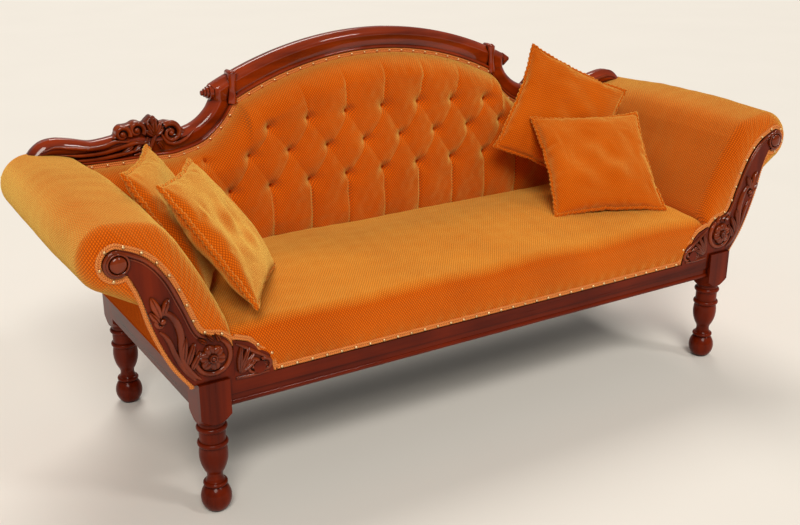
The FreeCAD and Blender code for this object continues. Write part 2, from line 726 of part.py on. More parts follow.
def arm_edges(inset):
    """The arm in front view: seat side, slope, shoulder, roll and hollow outer edge, drawn in by inset."""
    radius = ROLL_RADIUS - inset
    turn = math.radians(ROLL_END_ANGLE)
    low_in = point(PAD_IN_X + inset, SEAT_BASE)
    side_top = point(PAD_IN_X + inset, BLOCK_TOP + ARM_PAD_SIDE_HEIGHT)
    slope_top = point(SCROLL_X - SHOULDER_REACH + 0.9 * inset, SCROLL_Z + SHOULDER_RISE - 0.4 * inset)
    roll_top = point(SCROLL_X, SCROLL_Z + radius)
    bulge = slope_top + V(0.32 * (roll_top.x - slope_top.x), 0, 0.72 * (roll_top.z - slope_top.z))
    roll_end = point(SCROLL_X + radius * math.cos(turn), SCROLL_Z - radius * math.sin(turn))
    outer = outer_edge(ARM_PANEL_THICK + SOFT_GAP)
    foot = point(outer[0].x, SEAT_BASE)
    return [
        line(low_in, side_top),
        line(side_top, slope_top),
        arc(slope_top, bulge, roll_top),
        arc(roll_top, point(SCROLL_X + radius, SCROLL_Z), roll_end),
        line(roll_end, outer[-1]),
        curve(list(reversed(outer))),
        line(outer[0], foot),
        line(foot, low_in),
    ]


def arm_wire(inset, y):
    """The arm outline as a closed wire at one depth."""
    wire = Part.Wire(arm_edges(inset))
    wire.translate(V(0, y, 0))
    return wire


def arm_body():
    """The arm pad before the frame is let into it, with its front edge rounded over."""
    round_back = PAD_FRONT_Y + ARM_EDGE_ROUND
    stations = [(0.75 * ARM_EDGE_ROUND, 0.0), (0.25 * ARM_EDGE_ROUND, 0.35), (0.0, 1.0)]
    wires = [arm_wire(inset, PAD_FRONT_Y + share * ARM_EDGE_ROUND) for inset, share in stations]
    nose = Part.makeLoft(wires, True, True)
    return nose.fuse(prism(arm_edges(0), round_back, BLOCK_OUT_Y)).removeSplitter()


def leg_clearance(front):
    """Room for the top of a right-hand leg block."""
    half = HALF_BLOCK + SOFT_GAP
    y = -LEG_Y if front else LEG_Y
    return block(LEG_X - half, LEG_X + half, y - half, y + half, BLOCK_BOTTOM, BLOCK_TOP + SOFT_GAP)


def post_box(extra):
    """The right back post, with room around it."""
    return block(POST_IN_X - extra, POST_IN_X + POST_WIDTH + extra, TACK_RAIL_Y - extra, BLOCK_OUT_Y + extra,
                 BLOCK_TOP, WING_LOW_Z)


def tack_rail_box(extra):
    """The cross rail between the back posts, with room around it."""
    low = BLOCK_TOP + TACK_RAIL_RISE
    return block(-POST_IN_X, POST_IN_X, TACK_RAIL_Y - extra, BLOCK_OUT_Y + extra, low - extra,
                 low + TACK_RAIL_HEIGHT + extra)


def arm_tack_box(extra):
    """The rail along the arm, with room around it."""
    x = LEG_X + FACING_FOOT_OUT
    z = BLOCK_TOP + ARM_TACK_RISE
    return block(x - ARM_TACK_WIDTH / 2 - extra, x + ARM_TACK_WIDTH / 2 + extra, FACING_BACK_Y,
                 BLOCK_OUT_Y - REAR_BOARD_THICK, z - extra, z + ARM_TACK_HEIGHT + extra)


def core_rail(extra):
    """The round rail inside the roll, with room around it."""
    length = BLOCK_OUT_Y - REAR_BOARD_THICK - FACING_BACK_Y
    start = V(SCROLL_X, FACING_BACK_Y, SCROLL_Z)
    return Part.makeCylinder(CORE_RAIL_DIA / 2 + extra, length, start, V(0, 1, 0))


def grown(edges, extra):
    """A front outline as a face, made larger all round."""
    return front_face(edges).makeOffset2D(extra)


def make_arms():
    """Arm pads, their inner frame and the outside arm panels."""
    facing_face = front_face(facing_edges(0))
    post = post_box(0)
    rear_front = BLOCK_OUT_Y - REAR_BOARD_THICK
    inner = facing_face.common(front_face(arm_edges(SOFT_GAP)))
    rear_board = thick(inner, rear_front, BLOCK_OUT_Y).cut([post_box(SOFT_GAP), tack_rail_box(SOFT_GAP)])
    add_pair("arm_rear_board", largest(rear_board))
    add_pair("arm_core_rail", core_rail(0))
    add_pair("arm_tack_rail", arm_tack_box(0))
    add_pair("back_post", post)

    room = front_face(facing_edges(SOFT_GAP))
    bracket_room = grown(bracket_edges(), SOFT_GAP)
    wing_room = block(BLOCK_IN_X, SCROLL_X + ROLL_RADIUS + OVERCUT, CREST_FRONT_Y - SOFT_GAP, CREST_BACK_Y,
                      WING_LOW_Z - SOFT_GAP, BLOCK_TOP + CREST_RISE)
    pad = arm_body().cut([
        thick(room, PAD_FRONT_Y - OVERCUT, FACING_BACK_Y + SOFT_GAP),
        thick(bracket_room, PAD_FRONT_Y - OVERCUT, FACING_Y + BRACKET_THICK + SOFT_GAP),
        thick(room, rear_front - SOFT_GAP, BLOCK_OUT_Y + OVERCUT),
        core_rail(SOFT_GAP),
        arm_tack_box(SOFT_GAP),
        post_box(SOFT_GAP),
        tack_rail_box(SOFT_GAP),
        leg_clearance(True),
        leg_clearance(False),
        wing_room,
    ])
    add_pair("arm_pad", largest(pad))

    outside = outer_edge(0)
    inside = outer_edge(ARM_PANEL_THICK)
    strip = [curve(outside), line(outside[-1], inside[-1]), curve(list(reversed(inside))),
             line(inside[0], outside[0])]
    add_pair("outside_arm_panel", largest(prism(strip, FACING_BACK_Y, rear_front).cut(pad)))


def largest(shape):
    """The main solid of a cut shape."""
    return max(shape.Solids, key=lambda one: one.Volume)


# Back upholstery


def back_edges(inset, bottom):
    """The back inside the crest, in front view, drawn in along the crest by inset."""
    arch_mid, arch_end, sweep = crest_inner_points(inset)
    wide = SCROLL_X
    corner = point(wide, WING_LOW_Z - inset)
    low = point(wide, bottom)

    def left(one):
        return point(-one.x, one.z)

    return [
        arc(left(arch_end), arch_mid, arch_end),
        curve(sweep),
        line(sweep[-1], corner),
        line(corner, low),
        line(low, left(low)),
        line(left(low), left(corner)),
        line(left(corner), left(sweep[-1])),
        curve([left(one) for one in reversed(sweep)]),
    ]


def tuft_rows():
    """Button places, in three rows; the outer buttons of a row sit lower, as the crest does."""
    rows = []
    for row, count in enumerate(TUFT_COUNTS):
        places = []
        for number in range(count):
            x = (number - (count - 1) / 2) * TUFT_PITCH
            reach = TUFT_PITCH * 3
            drop = TUFT_ARCH_DROP * (x / reach) ** 2 if row == 0 else 0
            places.append(point(x, BLOCK_TOP + TUFT_TOP_RISE - row * TUFT_ROW_DROP - drop))
        rows.append(places)
    return rows


def pleat_lines():
    """The folds between buttons: diamonds between the rows, straight ones to the seat and the crest."""
    first, second, third = tuft_rows()
    folds = []
    for above, below in ((first, second), (third, second)):
        for one in above:
            near = [other for other in below if abs(other.x - one.x) < TUFT_PITCH * 0.75]
            folds += [(one, other) for other in near]
    for one in third:
        folds.append((one, point(one.x, BACK_PAD_BOTTOM)))
    crown = BLOCK_TOP + CREST_RISE - CREST_WIDTH
    for one in first:
        rise = crown - ARCH_INNER_DROP * (one.x / ARCH_INNER_HALF) ** 2 - one.z
        folds.append((one, point(one.x * TUFT_FAN, one.z + rise - BACK_EDGE_ROUND / 2)))
    return folds


def groove(start, end):
    """A V groove in the front of the back pad from one point to another."""
    along = (end - start).normalize()
    across = along.cross(V(0, 1, 0))
    half = PLEAT_WIDTH / 2 * (PLEAT_DEPTH + GROOVE_OVERCUT) / PLEAT_DEPTH
    mouth = start + V(0, BACK_FRONT_Y - GROOVE_OVERCUT, 0)
    corners = [mouth + across * half, mouth - across * half, start + V(0, BACK_FRONT_Y + PLEAT_DEPTH, 0)]
    face = Part.Face(Part.makePolygon(corners + corners[:1]))
    return face.extrude(end - start)


def dimple(place):
    """The hollow that a button is pulled into."""
    slope = (TUFT_MOUTH_DIA - BUTTON_DIA) / 2 / TUFT_DEPTH
    mouth = TUFT_MOUTH_DIA / 2 + slope * GROOVE_OVERCUT
    base = BUTTON_DIA / 2 + SOFT_GAP
    start = place + V(0, BACK_FRONT_Y - GROOVE_OVERCUT, 0)
    return Part.makeCone(mouth, base, TUFT_DEPTH + GROOVE_OVERCUT, start, V(0, 1, 0))


def back_pad():
    """The buttoned back: an edge under the braid, a crowned body and the tufts sewn into it."""
    edge = prism(back_edges(SOFT_GAP, BACK_PAD_BOTTOM), BACK_EDGE_Y, BACK_WEB_Y)
    start = GIMP_WIDTH + 2 * SOFT_GAP
    stations = [(start, 0.0), (start + 0.1 * BACK_EDGE_ROUND, 0.45), (start + 0.4 * BACK_EDGE_ROUND, 0.8),
                (start + BACK_EDGE_ROUND, 1.0)]
    wires = []
    for inset, share in stations:
        wire = Part.Wire(back_edges(inset, BACK_PAD_BOTTOM))
        wire.translate(V(0, BACK_EDGE_Y - share * BACK_PAD_DEPTH, 0))
        wires.append(wire)
    body = edge.fuse(Part.makeLoft(wires, True, True))
    arm_room = thick(front_face(arm_edges(-SOFT_GAP)), BACK_FRONT_Y - OVERCUT, BLOCK_OUT_Y)
    over_arm = block(SCROLL_X - SHOULDER_REACH, SCROLL_X + OVERCUT, BACK_FRONT_Y - OVERCUT, BLOCK_OUT_Y,
                     BACK_PAD_BOTTOM - OVERCUT, WING_LOW_Z + OVERCUT)
    post = post_box(SOFT_GAP)
    sides = [arm_room, over_arm, post]
    body = body.cut(sides + [mirrored(one) for one in sides])
    tools = [groove(start, end) for start, end in pleat_lines()]
    for row in tuft_rows():
        tools += [dimple(place) for place in row]
    return largest(body.cut(tools))


def make_back():
    """Back pad, buttons, webbing, inner frame and outside panel."""
    nodes["back_pad"] = back_pad()
    buttons = []
    for row in tuft_rows():
        for place in row:
            seat = place + V(0, BACK_FRONT_Y + TUFT_DEPTH - SOFT_GAP, 0)
            base = BUTTON_DIA / 2 - SOFT_GAP
            buttons.append(Part.makeCone(base, BUTTON_TOP_DIA / 2, BUTTON_HEIGHT, seat, V(0, -1, 0)))
    nodes["back_buttons"] = Part.makeCompound(buttons)

    region = front_face(back_edges(SOFT_GAP, BLOCK_TOP))
    rail_low = BLOCK_TOP + TACK_RAIL_RISE
    rail_high = rail_low + TACK_RAIL_HEIGHT
    nodes["back_tack_rail"] = tack_rail_box(0)
    uprights = []
    for x in (-UPRIGHT_X, UPRIGHT_X):
        bar = block(x - UPRIGHT_WIDTH / 2, x + UPRIGHT_WIDTH / 2, TACK_RAIL_Y, BLOCK_OUT_Y, rail_high,
                    BLOCK_TOP + CREST_RISE)
        uprights.append(bar.common(thick(region, TACK_RAIL_Y, BLOCK_OUT_Y)))
    nodes["back_uprights"] = Part.makeCompound(uprights)
    webs = []
    spread = 2 * ARCH_INNER_HALF
    for number in range(BACK_WEB_COUNT):
        x = (number / (BACK_WEB_COUNT - 1) - 0.5) * spread
        strip = block(x - BACK_WEB_WIDTH / 2, x + BACK_WEB_WIDTH / 2, BACK_WEB_Y, TACK_RAIL_Y, rail_low,
                      BLOCK_TOP + CREST_RISE)
        webs.append(strip.common(thick(region, BACK_WEB_Y, TACK_RAIL_Y)))
    nodes["back_webbing"] = Part.makeCompound(webs)

    panel_back = BLOCK_OUT_Y + BACK_PANEL_THICK
    middle = thick(region, BLOCK_OUT_Y, panel_back)
    arm = thick(front_face(arm_edges(0)), BLOCK_OUT_Y, panel_back)
    skirt = block(-BLOCK_IN_X, BLOCK_IN_X, BLOCK_OUT_Y, panel_back, BLOCK_TOP - BACK_PANEL_DROP,
                  BLOCK_TOP + OVERCUT)
    trim = block(SCROLL_X - SHOULDER_REACH, SCROLL_X + OVERCUT, BLOCK_OUT_Y - OVERCUT, panel_back + OVERCUT,
                 BLOCK_TOP - OVERCUT, WING_LOW_Z)
    trim = trim.cut(thick(front_face(arm_edges(0)), BLOCK_OUT_Y - OVERCUT, panel_back + OVERCUT))
    middle = middle.cut([trim, mirrored(trim)])
    panel = middle.fuse([arm, mirrored(arm), skirt]).removeSplitter()
    wings = [nodes[name] for name in ("right_crest_wing", "left_crest_wing", "right_crest_shoulder",
                                      "left_crest_shoulder", "crest_arch")]
    nodes["outside_back_panel"] = largest(panel.cut(wings))


# Seat upholstery


def seat_top():
    """The crowned top of the seat in side view: front edge, crown and back edge, in the plane x = 0."""
    edge = V(0, PAD_FRONT_Y + SEAT_EDGE_RADIUS, SEAT_BASE + SEAT_FRONT_HEIGHT + SEAT_EDGE_RADIUS)
    back = V(0, BACK_FRONT_Y - SOFT_GAP, SEAT_BASE + SEAT_BACK_HEIGHT)
    crown = (edge + back) * 0.5 + V(0, 0, SEAT_CROWN)
    return edge, crown, back


def seat_pad():
    """The sprung seat: upright front, rolled front edge and a crowned top."""
    half = PAD_IN_X - SOFT_GAP
    edge, crown, back = seat_top()
    front = V(0, PAD_FRONT_Y, edge.z - SEAT_EDGE_RADIUS)
    slant = SEAT_EDGE_RADIUS * (1 - math.sqrt(0.5))
    front_low = V(0, PAD_FRONT_Y, SEAT_BASE)
    back_low = V(0, back.y, SEAT_BASE)
    edges = [
        line(front_low, front),
        arc(front, V(0, PAD_FRONT_Y + slant, edge.z - slant), edge),
        arc(edge, crown, back),
        line(back, back_low),
        line(back_low, front_low),
    ]
    side = Part.Face(Part.Wire(edges))
    side.translate(V(-half, 0, 0))
    body = side.extrude(V(2 * half, 0, 0))
    room = thick(grown(bracket_edges(), SOFT_GAP), PAD_FRONT_Y - OVERCUT, FACING_Y + BRACKET_THICK + SOFT_GAP)
    facing_room = thick(front_face(facing_edges(SOFT_GAP)), PAD_FRONT_Y - OVERCUT, FACING_BACK_Y + SOFT_GAP)
    tools = [room, facing_room]
    return largest(body.cut(tools + [mirrored(one) for one in tools]))


def spring(x):
    """One sinuous spring from the front rail to the back rail, as a flat zigzag of runs and half turns."""
    z = RAIL_TOP - SPRING_DROP
    front = FRONT_RAIL_Y + RAIL_THICK
    back = BACK_RAIL_Y
    radius = SPRING_PITCH / 4
    reach = SPRING_RUN / 2
    turns = int((back - front) / (SPRING_PITCH / 2)) - 3
    turns -= turns % 2
    lead = ((back - front) - (turns - 1) * SPRING_PITCH / 2) / 2

    def at(across, y):
        return V(x + across, y, z)

    slant = radius * (1 - math.sqrt(0.5))
    bend = radius * math.sqrt(0.5)
    y = front + lead
    edges = [line(at(0, front), at(0, y - radius)),
             arc(at(0, y - radius), at(slant, y - radius + bend), at(radius, y)),
             line(at(radius, y), at(reach, y))]
    side = 1
    for turn in range(1, turns):
        middle = y + radius
        tip = side * (reach + radius)
        corner = side * (reach + bend)
        edges.append(arc(at(side * reach, y), at(corner, middle - bend), at(tip, middle)))
        edges.append(arc(at(tip, middle), at(corner, middle + bend), at(side * reach, middle + radius)))
        y += 2 * radius
        stop = radius if turn == turns - 1 else -reach
        edges.append(line(at(side * reach, y), at(side * stop, y)))
        side = -side
    edges.append(arc(at(-side * radius, y), at(-side * slant, y + radius - bend), at(0, y + radius)))
    edges.append(line(at(0, y + radius), at(0, back)))
    path = Part.Wire(edges)
    ring = Part.Wire(Part.makeCircle(SPRING_WIRE_DIA / 2, V(x, front, z), V(0, 1, 0)))
    return path.makePipeShell([ring], True, False)


def make_seat():
    """Springs, hessian, seat pad and dust cover."""
    places = [(number / (SPRING_COUNT - 1) - 0.5) * SPRING_SPREAD for number in range(SPRING_COUNT)]
    nodes["seat_springs"] = Part.makeCompound([spring(x) for x in places])
    corners = [leg_clearance(True), leg_clearance(False)]
    corners += [mirrored(one) for one in corners]
    wide = LEG_X
    hessian_front = FACING_Y + BRACKET_THICK + SOFT_GAP
    hessian = block(-wide, wide, hessian_front, BACK_RAIL_Y + RAIL_THICK / 2, RAIL_TOP, SEAT_BASE)
    nodes["seat_hessian"] = hessian.cut(corners)
    nodes["seat_pad"] = seat_pad()
    cover = block(-wide, wide, FRONT_RAIL_Y + RAIL_THICK / 2, BACK_RAIL_Y + RAIL_THICK / 2,
                  RAIL_BOTTOM - DUST_COVER_THICK, RAIL_BOTTOM)
    nodes["dust_cover"] = cover.cut(corners)


# Braid and nails


def nail(place, base_y):
    """A domed nail head on the front of the braid."""
    return Part.makeSphere(NAIL_DIA / 2, place + V(0, base_y, 0), V(0, -1, 0), 0, 90, 360)


def spaced(wire, keep):
    """Points along a wire, one nail pitch apart, where keep says yes."""
    count = max(2, int(wire.Length / NAIL_PITCH))
    return [one for one in wire.discretize(count) if keep(one)]


def make_trim():
    """Gimp braid in strips and a nail every pitch along it."""
    arm_face = front_face(arm_edges(0.75 * ARM_EDGE_ROUND))
    facing = front_face(facing_edges(SOFT_GAP))
    wide = front_face(facing_edges(SOFT_GAP + GIMP_WIDTH))
    bracket = grown(bracket_edges(), SOFT_GAP)
    band = largest_face(wide.common(arm_face).cut([facing, bracket]))
    gimp_y = PAD_FRONT_Y - GIMP_THICK
    arm_gimp = thick(band, gimp_y, PAD_FRONT_Y)

    bracket_wide = grown(bracket_edges(), SOFT_GAP + GIMP_WIDTH)
    left_end = RING_X - ROSETTE_RING_RADIUS - BRACKET_WIDTH - 2 * GIMP_WIDTH
    seat_zone = Part.Face(Part.makePolygon([point(left_end, RAIL_TOP), point(PAD_IN_X - SOFT_GAP, RAIL_TOP),
                                            point(PAD_IN_X - SOFT_GAP, SEAT_BASE + SEAT_FRONT_HEIGHT),
                                            point(left_end, SEAT_BASE + SEAT_FRONT_HEIGHT),
                                            point(left_end, RAIL_TOP)]))
    corner = largest_face(bracket_wide.common(seat_zone).cut([bracket, facing]))
    corner_gimp = thick(corner, gimp_y, PAD_FRONT_Y)
    stop = RING_X - ROSETTE_RING_RADIUS - 2 * SOFT_GAP - BRACKET_WIDTH - GIMP_WIDTH - SOFT_GAP
    front_gimp = block(-stop, stop, gimp_y, PAD_FRONT_Y, RAIL_TOP, RAIL_TOP + GIMP_WIDTH)
    crest_band = front_face(back_edges(SOFT_GAP, BLOCK_TOP))
    crest_band = crest_band.cut(front_face(back_edges(SOFT_GAP + GIMP_WIDTH, BLOCK_TOP - OVERCUT)))
    reach = SCROLL_X - SHOULDER_REACH
    window = block(-reach, reach, BACK_EDGE_Y - GIMP_THICK, BACK_EDGE_Y, BLOCK_TOP, BLOCK_TOP + CREST_RISE)
    crest_gimp = thick(crest_band, BACK_EDGE_Y - GIMP_THICK, BACK_EDGE_Y).common(window)
    nodes["gimp_braid"] = Part.makeCompound([arm_gimp, mirrored(arm_gimp), corner_gimp, mirrored(corner_gimp),
                                             front_gimp] + crest_gimp.Solids)

    half = SOFT_GAP + GIMP_WIDTH / 2
    heads = []
    arm_line = Part.Wire(facing_edges(half))
    margin = NAIL_DIA
    for one in spaced(arm_line, lambda p: band.isInside(p, FACE_TOLERANCE, True)):
        heads += [nail(one, gimp_y), nail(point(-one.x, one.z), gimp_y)]
    corner_line = grown(bracket_edges(), half).OuterWire
    low = RAIL_TOP + half
    for one in spaced(corner_line, lambda p: p.z > low and corner.isInside(p, FACE_TOLERANCE, True)):
        heads += [nail(one, gimp_y), nail(point(-one.x, one.z), gimp_y)]
    count = int(2 * (stop - margin) / NAIL_PITCH)
    for number in range(count + 1):
        x = (number / count - 0.5) * 2 * (stop - margin)
        heads.append(nail(point(x, RAIL_TOP + GIMP_WIDTH / 2), gimp_y))
    arch_mid, arch_end, sweep = crest_inner_points(half)
    crest_y = BACK_EDGE_Y - GIMP_THICK
    arch_line = Part.Wire([arc(point(-arch_end.x, arch_end.z), arch_mid, arch_end)])
    heads += [nail(one, crest_y) for one in spaced(arch_line, lambda p: True)]
    wing_line = Part.Wire([curve(sweep), line(sweep[-1], point(reach - margin, sweep[-1].z))])
    for one in spaced(wing_line, lambda p: p.x > arch_end.x + margin):
        heads += [nail(one, crest_y), nail(point(-one.x, one.z), crest_y)]
    nodes["upholstery_nails"] = Part.makeCompound(heads)


def largest_face(shape):
    """The main face of a cut face."""
    return max(shape.Faces, key=lambda one: one.Area)


# Loose cushions


def cushion():
    """A knife-edge cushion in the plane y = 0: crowned faces and sides drawn in between the corners."""
    half = CUSHION_SIDE / 2
    wires = []
    for share in (-1.0, -0.8, -0.45, 0.0, 0.45, 0.8, 1.0):
        fade = 1 - share * share
        reach = half - CUSHION_DRAW_IN * fade
        rise = (CUSHION_EDGE + (CUSHION_THICK - CUSHION_EDGE) * fade) / 2
        x = share * half
        low = V(x, 0, -reach)
        high = V(x, 0, reach)
        wires.append(Part.Wire([arc(low, V(x, -rise, 0), high), arc(high, V(x, rise, 0), low)]))
    body = Part.makeLoft(wires, True, False)
    radius = (half ** 2 + CUSHION_DRAW_IN ** 2) / (2 * CUSHION_DRAW_IN)
    side = Part.makeCylinder(radius, 2 * CUSHION_THICK, V(half - CUSHION_DRAW_IN + radius, -CUSHION_THICK, 0),
                             V(0, 1, 0))
    return largest(body.cut([side, mirrored(side)]))


def face_normal(heading, lean):
    """The way that the front of a leaning cushion faces."""
    turn = math.radians(heading)
    tilt = math.radians(lean)
    return V(math.sin(turn) * math.cos(tilt), -math.cos(turn) * math.cos(tilt), math.sin(tilt))


def settled(heading, lean, turn, start, origin, normal, way):
    """A cushion let down on the seat and pushed along way against the plane at origin that faces normal."""
    body = cushion()
    body.rotate(V(0, 0, 0), V(0, 1, 0), -turn)
    body.rotate(V(0, 0, 0), V(1, 0, 0), -lean)
    body.rotate(V(0, 0, 0), V(0, 0, 1), heading)
    crown = Part.Circle(*seat_top())
    points = body.tessellate(CUSHION_MESH)[0]
    place = start
    for _ in range(SETTLE_ROUNDS):
        spots = [one + place for one in points]
        lows = []
        for one in spots:
            rise = math.sqrt(crown.Radius ** 2 - (one.y - crown.Center.y) ** 2)
            lows.append(one.z - crown.Center.z - rise)
        place = place + V(0, 0, CUSHION_GAP - min(lows))
        nearest = min((one + place - origin).dot(normal) for one in points)
        place = place + way * ((nearest - CUSHION_GAP) / -normal.dot(way))
    body.translate(place)
    return body, place


def make_cushions():
    """Loose cushions: the rear ones lean on the left arm and on the back, the front ones on those."""
    side_top = point(-PAD_IN_X, BLOCK_TOP + ARM_PAD_SIDE_HEIGHT)
    slope_top = point(SHOULDER_REACH - SCROLL_X, SCROLL_Z + SHOULDER_RISE)
    slope = (slope_top - side_top).normalize()
    arm_normal = V(slope.z, 0, -slope.x)
    back_point = V(0, BACK_FRONT_Y, 0)
    half = CUSHION_THICK / 2
    left = V(-1, 0, 0)
    back = V(0, 1, 0)

    body, place = settled(REAR_LEFT_HEADING_ANGLE, REAR_LEFT_LEAN_ANGLE, REAR_LEFT_TURN_ANGLE,
                          V(0, REAR_LEFT_Y, 0), side_top, arm_normal, left)
    nodes["rear_left_cushion"] = body
    normal = face_normal(REAR_LEFT_HEADING_ANGLE, REAR_LEFT_LEAN_ANGLE)
    body, place = settled(FRONT_LEFT_HEADING_ANGLE, FRONT_LEFT_LEAN_ANGLE, FRONT_LEFT_TURN_ANGLE,
                          V(0, FRONT_LEFT_Y, 0), place + normal * half, normal, left)
    nodes["front_left_cushion"] = body

    body, place = settled(REAR_RIGHT_HEADING_ANGLE, REAR_RIGHT_LEAN_ANGLE, REAR_RIGHT_TURN_ANGLE,
                          V(PAD_IN_X - REAR_RIGHT_INSET, 0, 0), back_point, back * -1, back)
    nodes["rear_right_cushion"] = body
    normal = face_normal(REAR_RIGHT_HEADING_ANGLE, REAR_RIGHT_LEAN_ANGLE)
    body, place = settled(FRONT_RIGHT_HEADING_ANGLE, FRONT_RIGHT_LEAN_ANGLE, FRONT_RIGHT_TURN_ANGLE,
                          V(PAD_IN_X - FRONT_RIGHT_INSET, 0, 0), place + normal * half, normal, back)
    nodes["front_right_cushion"] = body


for make in (make_base, make_arm_wood, make_crest, make_arms, make_back, make_seat, make_trim, make_cushions):
    make()

os.makedirs("parts", exist_ok=True)
for name, shape in nodes.items():
    shape.exportStep("parts/" + name + ".step")
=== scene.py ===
"""Looks of the show-wood sofa: cloth, carving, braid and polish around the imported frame."""

import logging
import math
from dataclasses import dataclass
from enum import Enum
from typing import Optional, Sequence, Union

import bmesh
import bpy
import numpy as np
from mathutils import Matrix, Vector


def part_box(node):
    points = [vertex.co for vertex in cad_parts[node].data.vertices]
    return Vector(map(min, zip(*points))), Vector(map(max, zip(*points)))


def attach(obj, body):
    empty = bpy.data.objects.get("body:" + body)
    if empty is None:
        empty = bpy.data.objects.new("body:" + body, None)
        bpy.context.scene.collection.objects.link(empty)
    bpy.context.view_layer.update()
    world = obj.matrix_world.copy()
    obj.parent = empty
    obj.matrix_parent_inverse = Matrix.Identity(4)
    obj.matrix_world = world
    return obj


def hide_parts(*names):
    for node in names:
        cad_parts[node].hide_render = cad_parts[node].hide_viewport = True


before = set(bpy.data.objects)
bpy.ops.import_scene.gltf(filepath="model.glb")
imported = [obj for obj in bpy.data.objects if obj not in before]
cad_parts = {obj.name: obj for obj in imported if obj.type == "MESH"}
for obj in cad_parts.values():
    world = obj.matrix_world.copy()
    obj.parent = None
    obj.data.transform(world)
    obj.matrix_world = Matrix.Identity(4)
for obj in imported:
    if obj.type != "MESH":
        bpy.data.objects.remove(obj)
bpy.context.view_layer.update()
LOG = logging.getLogger("sofa")
FRAME_BODY = "sofa_frame"
WEAVE = "weave"
SEED = 7
# Sines that a ripple is the sum of
WAVES = 9
# How deep carved pieces stand in their board
SUNK = 0.004

Array = np.ndarray
Colour = tuple[float, float, float]
Material = bpy.types.Material
Piece = bpy.types.Object


# Shader tools


class Wire:
    """A shader socket that takes part in arithmetic."""

    def __init__(self, graph: "Graph", socket: bpy.types.NodeSocket) -> None:
        """Keep the socket and the graph that it belongs to."""
        self.graph = graph
        self.socket = socket

    def __add__(self, other: "Term") -> "Wire":
        """Sum of two values."""
        return self.graph.math("ADD", self, other)

    __radd__ = __add__

    def __sub__(self, other: "Term") -> "Wire":
        """Difference of two values."""
        return self.graph.math("SUBTRACT", self, other)

    def __rsub__(self, other: "Term") -> "Wire":
        """Difference with the wire on the right."""
        return self.graph.math("SUBTRACT", other, self)

    def __mul__(self, other: "Term") -> "Wire":
        """Product of two values."""
        return self.graph.math("MULTIPLY", self, other)

    __rmul__ = __mul__

    def __pow__(self, other: "Term") -> "Wire":
        """Power of a value."""
        return self.graph.math("POWER", self, other)

    def __rpow__(self, other: "Term") -> "Wire":
        """Power with the wire as the exponent."""
        return self.graph.math("POWER", other, self)

    def sine(self) -> "Wire":
        """Sine of an angle in radians."""
        return self.graph.math("SINE", self, 0.0)

    def absolute(self) -> "Wire":
        """Size without sign."""
        return self.graph.math("ABSOLUTE", self, 0.0)


Term = Union[Wire, float, int]


